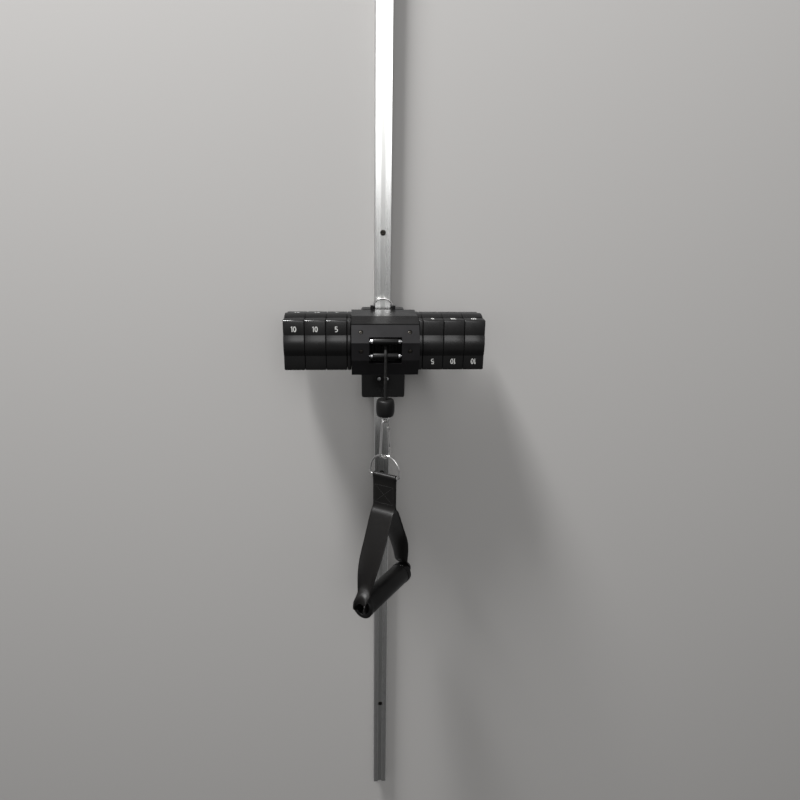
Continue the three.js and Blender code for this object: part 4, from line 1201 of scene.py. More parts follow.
@dataclass
class Housing:
    """The shell round the spool, its faceted cover and the cover's screws."""

    cover_front: float = 123.0
    cover_shoulder: float = 105.5
    cover_top: float = 31.7
    cover_upper_edge: float = 8.5
    screw_half_span: float = 36.0
    upper_screw_height: float = 22.5
    lower_screw_height: float = -4.0
    screw_inset: float = 0.5

    def build(self, shop: Workshop) -> None:
        """Build the housing's pieces."""
        shop.soften("housing_shell", 0.9, 3)
        shop.soften("front_cover", 0.7, 3)
        run = self.cover_front - self.cover_shoulder
        rise = self.cover_top - self.cover_upper_edge
        tilt = math.atan2(run, rise)
        upper = self.cover_shoulder + run * (self.cover_top - self.upper_screw_height) / rise
        for i, side in enumerate(Side):
            x = side.value * self.screw_half_span
            y = -upper + self.screw_inset * math.cos(tilt)
            z = self.upper_screw_height - self.screw_inset * math.sin(tilt)
            PanScrew().build(f"cover_screw_{2 * i + 1}", (x, y, z), tilt, shop)
            lower = (x, -self.cover_front + self.screw_inset, self.lower_screw_height)
            PanScrew().build(f"cover_screw_{2 * i + 2}", lower, 0.0, shop)


@dataclass
class Fairlead:
    """Two rollers that the rope leaves between."""

    heights: tuple[float, float] = (9.2, LOWER_ROLLER_HEIGHT)
    sleeve_radius: float = 4.9
    sleeve_half: float = 19.0
    core_radius: float = 3.6
    core_half: float = 22.4
    journal_radius: float = 1.6
    journal_half: float = 28.4

    def build(self, shop: Workshop) -> None:
        """Build the rollers."""
        core, journal, half = self.core_radius, self.journal_radius, self.sleeve_half
        sleeve = mirrored([(core + SEAT_GAP, half), (self.sleeve_radius, half, 0.7)])
        end = [(0.0, self.journal_half), (journal, self.journal_half, 0.3)]
        end += [(journal, self.core_half), (core, self.core_half, 0.5)]
        for name, height in zip(("upper_roller", "lower_roller"), self.heights):
            lathe = Lathe(Axis.X, (0.0, -ROLLER_STANDOFF, height))
            shop.turned(f"{name}_axle", lathe, rounded(mirrored(end)))
            shop.turned(f"{name}_sleeve", lathe, rounded(sleeve, closed=True), endless=True)


@dataclass
class Spool:
    """The shaft with its bearings, the spool and the rope wound on it."""

    shaft_radius: float = 8.0
    shaft_half: float = 56.5
    socket_flats: float = 9.6
    socket_depth: float = 10.0
    bearing_radius: float = 13.6
    bearing_width: float = 8.0
    bearing_inner_x: float = 41.7
    race_width: float = 1.6
    shield_inset: float = 0.8
    core_radius: float = 20.0
    flange_radius: float = 31.0
    flange_thickness: float = 2.5
    half_width: float = 28.5
    turns: int = 10

    @property
    def centre(self) -> Point:
        """The middle of the shaft."""
        return (0.0, -SHAFT_STANDOFF, 0.0)

    def shaft(self, shop: Workshop) -> None:
        """Turn the shaft, with a hexagonal socket in each end."""
        socket, radius, half = Star.hexagon(self.socket_flats), self.shaft_radius, self.shaft_half
        floor, bevel = half - self.socket_depth, 0.5
        end = [(0.0, floor), (socket, floor), (socket, half)]
        end += [(radius - bevel, half), (radius, half - bevel)]
        shop.turned("main_shaft", Lathe(Axis.X, self.centre), mirrored(end))

    def bearing(self, node: str, middle: float, shop: Workshop) -> None:
        """Turn a bearing with its shields set back.

        Args:
            node: The node it stands for.
            middle: Where its middle is along the shaft.
            shop: The workshop.
        """
        inner, outer = self.shaft_radius + SEAT_GAP, self.bearing_radius
        half = self.bearing_width / 2
        shield, race = half - self.shield_inset, self.race_width
        face = [(inner, half, 0.3), (inner + race, half), (inner + race, shield)]
        face += [(outer - race, shield), (outer - race, half), (outer, half, 0.4)]
        lathe = Lathe(Axis.X, (middle, -SHAFT_STANDOFF, 0.0))
        shop.turned(node, lathe, rounded(mirrored(face), closed=True), endless=True)

    def build(self, shop: Workshop) -> None:
        """Build what turns in the housing."""
        self.shaft(shop)
        for side in Side:
            middle = side.value * (self.bearing_inner_x + self.bearing_width / 2)
            self.bearing(f"bearing_{side.word}", middle, shop)
        bore, flange, half = self.shaft_radius + SEAT_GAP, self.flange_radius, self.half_width
        inside = half - self.flange_thickness
        end = [(bore, half, 0.4), (flange, half, 0.8)]
        end += [(flange, inside, 0.8), (self.core_radius, inside, 1.0)]
        lathe = Lathe(Axis.X, self.centre, 64)
        shop.turned("rope_spool", lathe, rounded(mirrored(end), closed=True), endless=True)
        wound_half, inner = inside - SEAT_GAP, self.core_radius + SEAT_GAP
        pitch = 2 * wound_half / self.turns
        wound: Outline = [(inner, -wound_half)]
        for i in range(self.turns):
            middle = -wound_half + (i + 0.5) * pitch
            for across, up in units(0, 180, 8):
                wound.append((inner + ROPE_RADIUS * (1.0 + up), middle - across * pitch / 2))
        wound.append((inner, wound_half))
        shop.turned("rope_winding", lathe, wound, endless=True, crease=60.0)


@dataclass
class SpringPacks:
    """Three crowned packs on each side, with their hubs, seats and printed numbers."""

    half_face: float = 38.0
    crown: float = 42.0
    corner_radius: float = 2.4
    strip_height: float = 22.5
    strip_step: float = 0.9
    pitch: float = 31.25
    wall: float = 2.6
    cavity_radius: float = 34.0
    bore_radius: float = 11.0
    relief_depth: float = 0.9
    relief_radii: tuple[float, float] = (13.0, 26.4)
    relief_slope: float = 0.6
    hub_radius: float = 10.4
    hex_flats: float = 9.0
    stub_length: float = 9.0
    peg_radius: float = 2.2
    peg_length: float = 4.0
    peg_offset: float = 29.0
    seat_from: float = 50.3
    seat_thickness: float = 5.9
    first_pack: float = 56.5
    edge_radius: float = 1.1
    number_height: float = 8.4
    number_stroke: float = 0.15
    number_standoff: float = 24.5
    number_thickness: float = 0.05
    number_lift: float = 0.01
    numbers: tuple[str, ...] = ("5", "10", "10")
    crown_steps: int = 12
    peg_sides: int = 24

    def section(self, x: float, inset: float) -> Ring:
        """The outline of a pack, four crowned faces with a flat strip each.

        Args:
            x: Where it is along the shaft.
            inset: How far it is drawn in.

        Returns:
            The ring.
        """
        half, crown = self.half_face - inset, self.crown - inset
        band, shoulder = half - self.strip_height, half + self.strip_step
        rise = crown - shoulder
        radius = (band * band + rise * rise) / (2 * rise)
        sweep = math.degrees(math.asin(band / radius))
        corners: list[tuple[float, ...]] = []
        for face in range(4):
            points: list[tuple[float, ...]] = [(-half, half, self.corner_radius), (-band, half)]
            points += arc((0.0, crown - radius), radius, 90 + sweep, 90 - sweep, self.crown_steps)
            points.append((band, half))
            across, up = unit(-face * math.pi / 2)
            corners += [
                (y * across - z * up, y * up + z * across, *rounding) for y, z, *rounding in points
            ]
        return [Vector((x, y, z)) for y, z in rounded(corners, closed=True)]

    def side_place(self, side: Side) -> Matrix:
        """Where a side's pieces stand; the left ones are turned over."""
        turn = math.pi if side is Side.LEFT else 0.0
        return stand(SHAFT_STANDOFF) @ Matrix.Rotation(turn, 4, "Y")

    def circle(self, x: float, y: float, z: float, radius: float, sides: int = 48) -> Ring:
        """A circle across the shaft."""
        return [Vector((x, y + radius * a, z + radius * b)) for a, b in around(sides)]

    def body(self, start: float, width: float, hollow: bool) -> Skin:
        """The skin of a pack's case or of a seat plate.

        Args:
            start: Where its inner face is.
            width: How wide it is.
            hollow: Whether it has a spring's room, pegs and relief rings.

        Returns:
            The skin.
        """
        end, edge, hole = start + width, self.edge_radius, self.bore_radius
        stations = [(start + edge * (1 - a), edge * (1 - b)) for a, b in units(0, 90, 4)]
        rings = [self.section(x, inset) for x, inset in stations]
        rings += [self.section(end - (x - start), inset) for x, inset in reversed(stations)]
        skin = Skin().loft(rings, capped=False)
        bore = [(start, hole), (end, hole)]
        if hollow:
            near, far, room = start + self.wall, end - self.wall, self.cavity_radius
            inner, outer = self.relief_radii
            floor = end - self.relief_depth
            bore = [(start, hole), (near, hole), (near, room), (far, room), (far, hole)]
            bore += [(floor, hole), (floor, inner), (floor, outer)]
            bore.append((end, outer + self.relief_slope))
        skin.loft([self.circle(x, 0.0, 0.0, radius) for x, radius in bore], capped=False)
        reach, tip, bevel = self.peg_radius, start - self.peg_length, 0.6
        wide, floor = reach + SEAT_GAP, end - self.peg_length - SEAT_GAP
        sink = ((end, wide), (floor, wide), (floor, 0.0))
        peg = ((start + 1.0, reach), (tip + bevel, reach), (tip, reach - bevel))
        mouths = []
        for spot in (self.peg_offset, -self.peg_offset):
            hollows = [self.circle(x, spot, spot, out, self.peg_sides) for x, out in sink]
            mouths.append(hollows[0])
            skin.loft(hollows, capped=False)
            if hollow:
                skin.loft([self.circle(x, spot, spot, out, self.peg_sides) for x, out in peg])
        skin.plate([rings[0], self.circle(start, 0.0, 0.0, hole)])
        skin.plate([rings[-1], self.circle(end, 0.0, 0.0, bore[-1][1]), *mouths])
        return skin

    def hub(self, start: float) -> Skin:
        """A hub: a hexagonal stub at one end and a socket for the next at the other."""
        stub, socket, tip = map(
            Star.hexagon, (self.hex_flats, self.hex_flats + 2 * SEAT_GAP, self.hex_flats - 1.0)
        )
        near, far, radius = start + SEAT_GAP, start + self.pitch - SEAT_GAP, self.hub_radius
        foot, floor, bevel = near - self.stub_length, far - self.stub_length - 1.0, 0.5
        profile = [(0.0, foot), (tip, foot), (stub, foot + 0.6), (stub, near)]
        profile += [(radius - bevel, near), (radius, near + bevel)]
        profile += [(radius, far - bevel), (radius - bevel, far)]
        profile += [(socket, far), (socket, floor), (0.0, floor)]
        return Skin().loft(Lathe(Axis.X).rings(profile), capped=False)

    def strokes(self, digit: str) -> tuple[Outline, bool]:
        """A digit's middle line in a box one high, and whether it closes on itself.

        Args:
            digit: The digit, 0, 1 or 5.

        Returns:
            The line, and whether it is closed.
        """
        low, high = self.number_stroke / 2, 1.0 - self.number_stroke / 2
        if digit == "0":
            return [(0.29 + 0.20 * a, 0.5 + (0.5 - low) * b) for a, b in around(32)], True
        if digit == "1":
            return [(0.06, 0.80), (0.24, high), (0.26, high), (0.26, low / 8)], False
        belly = arc((0.24, 0.33), 0.255, 112, -128, 14)
        return [(0.47, high), (0.12, high), (0.09, 0.50), *belly], False

    def number(self, text: str) -> Skin:
        """A number's flat printed form, centred on the origin and facing +Z.

        Args:
            text: The number.

        Returns:
            Its skin, in millimetres.
        """
        skin, half = Skin(), self.number_stroke / 2
        advance = {"0": 0.60, "1": 0.43, "5": 0.58}  # each digit's width, in heights
        cursor = -sum(advance[digit] for digit in text) / 2
        for digit in text:
            line, closed = self.strokes(digit)
            points = [Vector((cursor + x, y - 0.5, 0.0)) * self.number_height for x, y in line]
            count, rings = len(points), []
            for i, point in enumerate(points):
                back = points[i - 1] if closed or i else point
                ahead = points[(i + 1) % count] if closed or i < count - 1 else point
                into, out = (point - back).normalized(), (ahead - point).normalized()
                along = (into + out).normalized()
                square = max(along.dot(into if into.length else out), 0.5)
                side = Axis.Z.vector.cross(along) * (half * self.number_height / square)
                lift = Axis.Z.vector * self.number_thickness
                low, high = point - side, point + side
                rings.append([low, high, high + lift, low + lift])
            skin.loft(rings, endless=closed)
            cursor += advance[digit]
        return skin

    def marks(self, text: str, start: float) -> Skin:
        """A pack's number on all four faces, turned as the faces are."""
        number, skin = self.number(text), Skin()
        middle = start + (self.pitch - SEAT_GAP) / 2
        on_front = Matrix(
            (
                (-1, 0, 0, middle),
                (0, 0, -1, -self.half_face + self.number_lift),
                (0, -1, 0, -self.number_standoff),
                (0, 0, 0, 1),
            )
        )
        for face in range(4):
            place = Matrix.Rotation(face * math.pi / 2, 4, "X") @ on_front
            skin.add([place @ point for point in number.points], number.faces)
        return skin

    def build(self, shop: Workshop) -> None:
        """Build both sides."""
        crease = 40.0
        for side in Side:
            place = self.side_place(side)
            seat = self.body(self.seat_from, self.seat_thickness, hollow=False)
            shop.fine(f"pack_seat_{side.word}", seat, place, crease)
            for i, text in enumerate(self.numbers):
                name, start = f"pack_{side.word}_{i + 1}", self.first_pack + i * self.pitch
                case = self.body(start, self.pitch - SEAT_GAP, hollow=True)
                shop.fine(f"{name}_case", case, place, crease)
                shop.fine(f"{name}_hub", self.hub(start), place)
                shop.soften(f"{name}_spring", 0.2)
                marks = self.marks(text, start).mesh(f"number_{side.word}_{i + 1}", place)
                marks.materials.append(PrintedMark("white_print").material())
                shop.extra(marks.name, marks, shop.body_of[f"{name}_case"], "liner_plastic")


@dataclass
class Rope:
    """The braided rope from the spool over the lower roller and down to its stop."""

    radius: float = ROPE_RADIUS
    relief: float = 0.32
    strands: int = 8
    lay: float = 4.4
    sides: int = 48
    step: float = 0.45
    winding_middle: float = 22.6
    winding_clear: float = 27.5
    bend_radius: float = 7.8
    lead_end: float = -17.4
    run_end: float = -83.2

    def even(self, corners: Sequence[Vector]) -> list[Vector]:
        """Points at even steps along a line of corners."""
        points, spare = [corners[0].copy()], 0.0
        for here, after in zip(corners, corners[1:]):
            span = (after - here).length
            place = self.step - spare
            while place < span:
                points.append(here.lerp(after, place / span))
                place += self.step
            spare = span - (place - self.step)
        if (points[-1] - corners[-1]).length < self.step / 3:
            points.pop()
        return [*points, corners[-1].copy()]

    def lead_line(self) -> list[Vector]:
        """The middle line from the winding to just under the fairlead's sill."""
        spool = Vector((-SHAFT_STANDOFF, 0.0))
        roller = Vector((-ROLLER_STANDOFF, LOWER_ROLLER_HEIGHT))
        between = roller - spool
        lean = math.acos((self.winding_middle - self.bend_radius) / between.length)
        angle = (math.atan2(between.y, between.x) % (2 * math.pi)) - lean
        normal = Vector(unit(angle))
        on_spool = spool + normal * self.winding_middle
        on_roller = roller + normal * self.bend_radius
        clear = math.sqrt(self.winding_clear**2 - self.winding_middle**2)
        start = on_spool + (on_roller - on_spool).normalized() * clear
        bend = arc(tuple(roller), self.bend_radius, math.degrees(angle), 180.0, 24)
        flat = [start, *(Vector(point) for point in bend), Vector((-HANG_STANDOFF, self.lead_end))]
        return [Vector((0.0, point.x, point.y)) for point in flat]

    def braid(self, points: Sequence[Vector], start: float) -> list[Ring]:
        """Rings of a round braid.

        Args:
            points: The middle line, in even steps.
            start: The length of rope before the first point.

        Returns:
            The rings.
        """
        rings: list[Ring] = []
        run = start
        last = len(points) - 1
        for i, point in enumerate(points):
            run += (point - points[i - 1]).length if i else 0.0
            tangent = (points[min(i + 1, last)] - points[max(i - 1, 0)]).normalized()
            side = Axis.X.vector.cross(tangent).normalized()
            along, ring = math.pi * run / self.lay, []
            for k, (across, up) in enumerate(around(self.sides)):
                turn = math.pi * self.strands * k / self.sides
                plait = math.cos(turn + along) * math.cos(turn - along)
                out = self.radius - self.relief * (1.0 - math.sqrt(abs(plait)))
                ring.append(point + side * (out * across) + Axis.X.vector * (out * up))
            rings.append(ring)
        return rings

    def build(self, shop: Workshop) -> None:
        """Build the stretch in the fairlead and the hanging one."""
        lead, crease = self.even(self.lead_line()), 80.0
        shop.fine("rope_lead", Skin().loft(self.braid(lead, 0.0)), crease=crease)
        before = sum((b - a).length for a, b in zip(lead, lead[1:])) + SEAT_GAP
        top = Vector((0.0, -HANG_STANDOFF, self.lead_end - SEAT_GAP))
        foot = Vector((0.0, -HANG_STANDOFF, self.run_end))
        run = self.even([top, foot])
        braid = Skin().loft(self.braid(run, before))
        hanging = shop.fine("rope_run", braid, crease=crease, rides=False)
        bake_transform(hanging)
        [tuple(point * MM) for point in run[::4] + [run[-1]]]


@dataclass
class RopeEnd:
    """The rubber stop on the rope's end and the swivel eye under it."""

    top: float = -77.5
    bottom: float = -103.2
    radius: float = 14.0
    end_radius: float = 11.5
    bore_radius: float = 2.6
    bore_depth: float = 6.0
    recess_radius: float = 7.0
    recess_depth: float = 3.5
    stem_radius: float = 2.5
    stem_length: float = 9.0
    eye_height: float = -108.2
    eye_hole: float = 4.8
    eye_wire: float = 1.4
    eye_yaw: float = math.radians(55.0)
    barrel_steps: int = 24
    barrel_share: float = 0.985

    def build(self, shop: Workshop) -> None:
        """Build the stop and the eye."""
        line = Lathe(Axis.Z, (0.0, -HANG_STANDOFF, 0.0), 64)
        half, middle = (self.top - self.bottom) / 2, (self.top + self.bottom) / 2
        barrel: list[tuple[float, ...]] = []
        for i in range(1, self.barrel_steps):
            share = self.barrel_share - 2 * self.barrel_share * i / self.barrel_steps
            out = mix(self.end_radius, self.radius, math.sqrt(1.0 - share * share))
            barrel.append((out, middle + half * share))
        bore, stem = self.bore_radius, self.stem_radius + SEAT_GAP
        stem_top = self.bottom + self.recess_depth + self.stem_length
        profile: list[tuple[float, ...]] = [
            (0.0, self.top - self.bore_depth),
            (bore, self.top - self.bore_depth),
            (bore, self.top, 0.7),
            (self.end_radius, self.top, 0.9),
            *barrel,
            (self.end_radius, self.bottom, 0.9),
            (self.recess_radius, self.bottom, 0.6),
            (self.recess_radius, self.bottom + self.recess_depth, 0.5),
            (stem, self.bottom + self.recess_depth),
            (stem, stem_top),
            (0.0, stem_top),
        ]
        shop.turned("rope_stop", line, rounded(profile))
        loop = self.eye_hole + self.eye_wire
        ring = [Vector((0.0, y, z)) for y, z in arc((0.0, self.eye_height), loop, 0, 360, 64)[:-1]]
        wire = wire_rings(ring, self.eye_wire, Axis.X.vector, 24, endless=True)
        eye = Skin().loft(wire, endless=True)
        foot, head, flare = self.eye_height + loop, stem_top - SEAT_GAP, self.stem_radius
        neck = [(0.0, foot - 0.6), (1.6, foot - 0.6, 0.4), (flare, foot + 1.2, 1.0)]
        neck += [(flare, head, 0.5), (0.0, head)]
        eye.loft(Lathe(Axis.Z, sides=32).rings(rounded(neck)), capped=False)
        shop.fine("swivel_eye", eye, stand(HANG_STANDOFF, self.eye_yaw))


@dataclass
class SnapHook:
    """The bent-wire hook and its sprung gate on a pin."""

    yaw: float = math.radians(25.0)
    wire: float = 1.8
    top_centre: float = -115.8
    top_radius: float = 5.2
    bottom_centre: float = -164.4
    bottom_radius: float = 8.2
    pin_drop: float = 8.5
    nose_rise: float = 8.4
    tongue_half: float = 0.8
    eye_radius: float = 2.5
    pin_radius: float = 0.8
    fork_half: float = 2.2
    end_rounding: float = 0.4
    wire_sides: int = 24

    def side_x(self, z: float) -> float:
        """How far the hook's side is from its middle at a height."""
        share = (self.top_centre - z) / (self.top_centre - self.bottom_centre)
        return mix(self.top_radius, self.bottom_radius, share)

    def on_side(self, z: float) -> Vector:
        """The point of the hook's side line at a height."""
        return Vector((self.side_x(z), 0.0, z))

    def disc(self, middle: Vector, low: float, high: float) -> list[Ring]:
        """A plate with a pin hole across the hook's plane, rounded at its rim."""
        hole, rim = self.pin_radius + SEAT_GAP / 2, self.eye_radius
        shape = [(hole, low), (rim, low, 0.25), (rim, high, 0.25), (hole, high)]
        return Lathe(Axis.Y, tuple(middle), 32).rings(rounded(shape, closed=True))

    def wire_path(self, pin: Vector, nose: Vector) -> list[Vector]:
        """The hook's middle line, from the pin over the top and round the bottom to the nose."""
        over = upright(arc((0.0, self.top_centre), self.top_radius, 0, 180, 28))
        under = upright(arc((0.0, self.bottom_centre), self.bottom_radius, 180, 360, 36))
        back = [over[-1].lerp(under[0], share) for share in (0.2, 0.4, 0.6, 0.8)]
        neck = [pin.lerp(over[0], share) for share in (0.22, 0.3, 0.4, 0.52, 0.7)]
        tip = [under[-1].lerp(nose, share) for share in (0.4, 0.8, 1.0)]
        return [*neck, *over, *back, *under, *tip]

    def gate(self, pin: Vector, nose: Vector) -> Skin:
        """The gate: a bar between the pin and the nose, with a fork round the hook's tongue."""
        across, down = Axis.Y.vector, (nose - pin).normalized()
        start, end = pin + down * (self.eye_radius + SEAT_GAP), nose - down * 0.7
        bar = [start.lerp(end, share) for share in (0.0, 0.25, 0.5, 0.75, 1.0)]
        rings = wire_rings(bar, self.wire, across, self.wire_sides, edge=self.end_rounding)
        skin = Skin().loft(rings)
        inner, outer = self.tongue_half + SEAT_GAP, self.fork_half - 0.15
        half = (outer - inner) / 2
        for hand in (-1, 1):
            low, high = sorted((hand * inner, hand * self.fork_half))
            skin.loft(self.disc(pin, low, high), endless=True)
            middle = across * (hand * (inner + outer) / 2)
            cheek = [pin + down * run + middle for run in (1.1, 2.2, 3.4, 4.6)]
            flats = [half] * len(cheek)
            skin.loft(wire_rings(cheek, self.wire * 0.98, across, 16, edge=0.2, flats=flats))
        return skin

    def build(self, shop: Workshop) -> None:
        """Build the hook, the gate and the pin."""
        place = stand(HANG_STANDOFF, self.yaw)
        pin = self.on_side(self.top_centre - self.pin_drop)
        nose = self.on_side(self.bottom_centre + self.nose_rise)
        path, tongue = self.wire_path(pin, nose), self.tongue_half
        flats = [tongue, tongue, 1.1, 1.5, *([self.wire] * (len(path) - 4))]
        edge, sides = self.end_rounding, self.wire_sides
        wire = wire_rings(path, self.wire, Axis.Y.vector, sides, edge=edge, flats=flats)
        body = Skin().loft(wire).loft(self.disc(pin, -tongue, tongue), endless=True)
        shop.fine("hook_body", body, place)
        shop.fine("hook_gate", self.gate(pin, nose), place)
        rivet = mirrored([(0.0, self.fork_half), (self.pin_radius, self.fork_half, 0.25)])
        shop.turned("gate_pin", Lathe(Axis.Y, tuple(pin), 24), rounded(rivet), place)


@dataclass
class Handle:
    """The D-ring, the webbing loop sewn under it and the grip tube that turns on the webbing."""

    ring_yaw: float = -32.0
    ring_wire: float = 1.75
    ring_half: float = 25.75
    ring_top: float = -168.75
    ring_bar: float = -203.25
    ring_corner: float = 3.5
    shoulder_share: float = 0.85
    strap_width: float = 40.0
    strap_thickness: float = 2.2
    layer_gap: float = 0.5
    strap_seam: float = -253.65
    grip_axis: float = -408.45
    grip_yaw: float = 54.0
    grip_slip: float = -2.0
    slip_start_share: float = 0.42
    strap_lean: float = 12.0
    lip_curl: float = 0.95
    lip_opening: float = 30.0
    leg_opening: float = 90.0
    curled_length: float = 95.0
    lip_radius: float = 3.3
    tube_radius: float = 9.5
    half_length: float = 61.0
    bore_radius: float = 11.2
    core_radius: float = 12.6
    sleeve_radius: float = 17.6
    collar_radius: float = 18.1
    collar_width: float = 9.0
    leg_shares: tuple[tuple[float, float], ...] = (
        (1.046, 0.88),
        (1.01, 0.856),
        (0.915, 0.826),
        (0.82, 0.785),
        (0.775, 0.72),
        (0.725, 0.633),
        (0.64, 0.51),
        (0.508, 0.365),
        (0.345, 0.223),
        (0.166, 0.085),
    )
    stitch_length: float = 2.6
    stitch_pitch: float = 3.5
    stitch_radius: float = 0.42
    stitch_inset: float = 3.5
    stitch_top: float = -219.5
    ring_steps: int = 64
    strap_steps: int = 20
    least_sweep: float = 0.02

    def ring(self, shop: Workshop) -> None:
        """Bend the D-ring."""
        half, corner = self.ring_half, self.ring_corner
        shoulder = self.ring_bar + corner
        outline: Outline = []
        for across, up in units(0, 180, self.ring_steps):
            wide = math.copysign(abs(across) ** self.shoulder_share, across)
            rise = (self.ring_top - shoulder) * abs(up) ** self.shoulder_share
            outline.append((half * wide, shoulder + rise))
        outline += arc((-half + corner, shoulder), corner, 180, 270, 8)[1:]
        outline += [(-half / 3, self.ring_bar), (half / 3, self.ring_bar)]
        outline += arc((half - corner, shoulder), corner, 270, 360, 8)[:-1]
        rings = wire_rings(upright(outline), self.ring_wire, Axis.Y.vector, 24, endless=True)
        place = stand(HANG_STANDOFF, math.radians(self.ring_yaw))
        shop.fine("d_ring", Skin().loft(rings, endless=True), place)

    def slip(self, z: float) -> float:
        """How far the webbing has moved aside with the grip, at a height."""
        start = mix(self.strap_seam, self.grip_axis, self.slip_start_share)
        return self.grip_slip * ease(-z, -start, -self.grip_axis)

    def yaw(self, z: float) -> float:
        """The webbing's turn about the vertical, at a height."""
        share = ease(-z, -self.strap_seam, -self.grip_axis)
        return math.radians(mix(self.ring_yaw + 90.0, self.grip_yaw, share))

    def leg(self, start: tuple[float, float], layer: float, loop: float) -> list[Vector]:
        """The line of one leg, from the grip's lip up to the ring's bar.

        Args:
            start: Where it leaves the lip, out from the middle and up.
            layer: How far out it is where the two legs are sewn together.
            loop: How far out it is beside the bar.

        Returns:
            The finer points of the leg.
        """
        leg = [Vector(start)]
        for out, down in self.leg_shares:
            height = mix(self.strap_seam, self.grip_axis, down)
            leg.append(Vector((self.half_length * out, height)))
        leg += [Vector((layer, self.strap_seam)), Vector((layer, self.ring_bar - 4 * loop))]
        return through([*leg, Vector((loop, self.ring_bar))], 5)

    def stations(self) -> list[tuple[float, float, float, float]]:
        """Places round the loop: out from the middle, height, curl, and the curl's opening."""
        half: list[tuple[float, float, float, float]] = []
        tube_line, steps = self.grip_axis + self.tube_radius, 12
        for i in range(steps + 1):
            half.append((self.half_length * i / steps, tube_line, 1.0, 0.0))
        for i in range(1, steps + 1):
            share = i / steps
            across, up = unit(math.radians(-90 + (90 + self.strap_lean) * share))
            u = self.half_length + self.lip_radius * across
            z = tube_line + self.lip_radius * (1.0 + up)
            half.append((u, z, mix(1.0, self.lip_curl, share), self.lip_opening * share))
        lip = half[-1][:2]
        layer = (self.layer_gap + self.strap_thickness) / 2
        loop = self.ring_wire + SEAT_GAP + self.strap_thickness / 2
        for point in self.leg(lip, layer, loop)[1:]:
            flat = ease(point.y - lip[1], 0.0, self.curled_length)
            opening = mix(self.lip_opening, self.leg_opening, flat)
            half.append((max(point.x, layer), point.y, self.lip_curl * (1.0 - flat), opening))
        for across, up in units(0, 90, 10)[1:]:
            half.append((loop * across, self.ring_bar + loop * up, 0.0, self.leg_opening))
        other = [(-u, z, curl, -opening) for u, z, curl, opening in reversed(half[1:-1])]
        return [*half, *other]

    def across_line(
        self, u: float, z: float, curl: float, opening: float
    ) -> tuple[list[Vector], list[float]]:
        """The webbing's middle line across its width at one station.

        Args:
            u: How far out it is.
            z: Its height.
            curl: How much of a full turn it is curled.
            opening: Where the curl opens to, in degrees.

        Returns:
            The points, and how far each is across.
        """
        open_angle, up = math.radians(opening), Axis.Z.vector
        along, wide = headings(self.yaw(z))
        fold = along * math.sin(open_angle) - up * math.cos(open_angle)
        centre = along * (u + self.slip(z)) + up * z
        sweep = max(self.strap_width / self.tube_radius * curl, self.least_sweep)
        radius = self.strap_width / sweep
        trim = 1.0 - self.strap_thickness / self.strap_width
        points, places = [], []
        for k in range(self.strap_steps + 1):
            angle = (k / self.strap_steps - 0.5) * sweep * trim
            aside, into = radius * math.sin(angle), radius * (1.0 - math.cos(angle))
            points.append(centre + wide * aside + fold * into)
            places.append(angle * radius)
        return points, places

    def webbing(self, shop: Workshop) -> None:
        """Loft the webbing with rounded selvedges."""
        count, half = self.strap_steps, self.strap_thickness / 2
        lines = [self.across_line(*station) for station in self.stations()]
        rings: list[Ring] = []
        strips: list[tuple[float, float]] = []
        run = 0.0
        for i, (line, places) in enumerate(lines):
            before, after = lines[i - 1][0], lines[(i + 1) % len(lines)][0]
            run += (line[count // 2] - before[count // 2]).length if i else 0.0
            normals = []
            for k in range(count + 1):
                across = line[min(k + 1, count)] - line[max(k - 1, 0)]
                normals.append((after[k] - before[k]).cross(across).normalized())
            ring, spots = [], []
            for order, end in ((1, -1), (-1, 0)):
                ring += [line[k] + normals[k] * (half * order) for k in range(count + 1)[::order]]
                spots += places[::order]
                rim = (line[end] - line[end - order]).normalized()
                for turn in (45, 90, 135)[::order]:
                    c, s = unit(math.radians(turn))
                    ring.append(line[end] + normals[end] * (half * c) + rim * (half * s))
                    spots.append(places[end] + order * half * s)
            rings.append(ring)
            strips += [(spot * MM, run * MM) for spot in spots]
        strap = Skin().loft(rings, endless=True)
        shop.fine("strap", strap, stand(HANG_STANDOFF), 60.0, strips)

    def stitches(self, shop: Workshop) -> None:
        """Sew the double webbing under the bar: a box and a cross on both faces."""
        along, wide = headings(math.radians(self.ring_yaw + 90.0))
        top, foot = self.stitch_top, self.strap_seam + self.stitch_inset
        half = self.strap_width / 2 - self.stitch_inset
        corners = [(-half, foot), (half, foot), (half, top), (-half, top)]
        seams = ((0, 1), (1, 2), (2, 3), (3, 0), (0, 2), (1, 3))
        skin = Skin()
        outside = (self.layer_gap + self.strap_thickness) / 2 + self.strap_thickness / 2
        for hand in (-1, 1):
            face = along * hand * outside
            for start, end in ((Vector(corners[i]), Vector(corners[k])) for i, k in seams):
                count = round((end - start).length / self.stitch_pitch)
                reach = (end - start).normalized() * self.stitch_length / 2
                for i in range(count):
                    middle = start.lerp(end, (i + 0.5) / count)
                    line = []
                    for share in (-1.0, -0.8, -0.4, 0.0, 0.4, 0.8, 1.0):
                        spot = middle + reach * share
                        rise = -self.stitch_radius * share * share
                        out = face + along * hand * rise
                        line.append(wide * spot.x + Axis.Z.vector * spot.y + out)
                    skin.loft(wire_rings(line, self.stitch_radius, along, 8, edge=0.2))
        mesh = skin.mesh("strap_stitches", stand(HANG_STANDOFF))
        mesh.materials.append(THREAD.material())
        shop.extra("strap_stitches", mesh, "strap", "webbing")

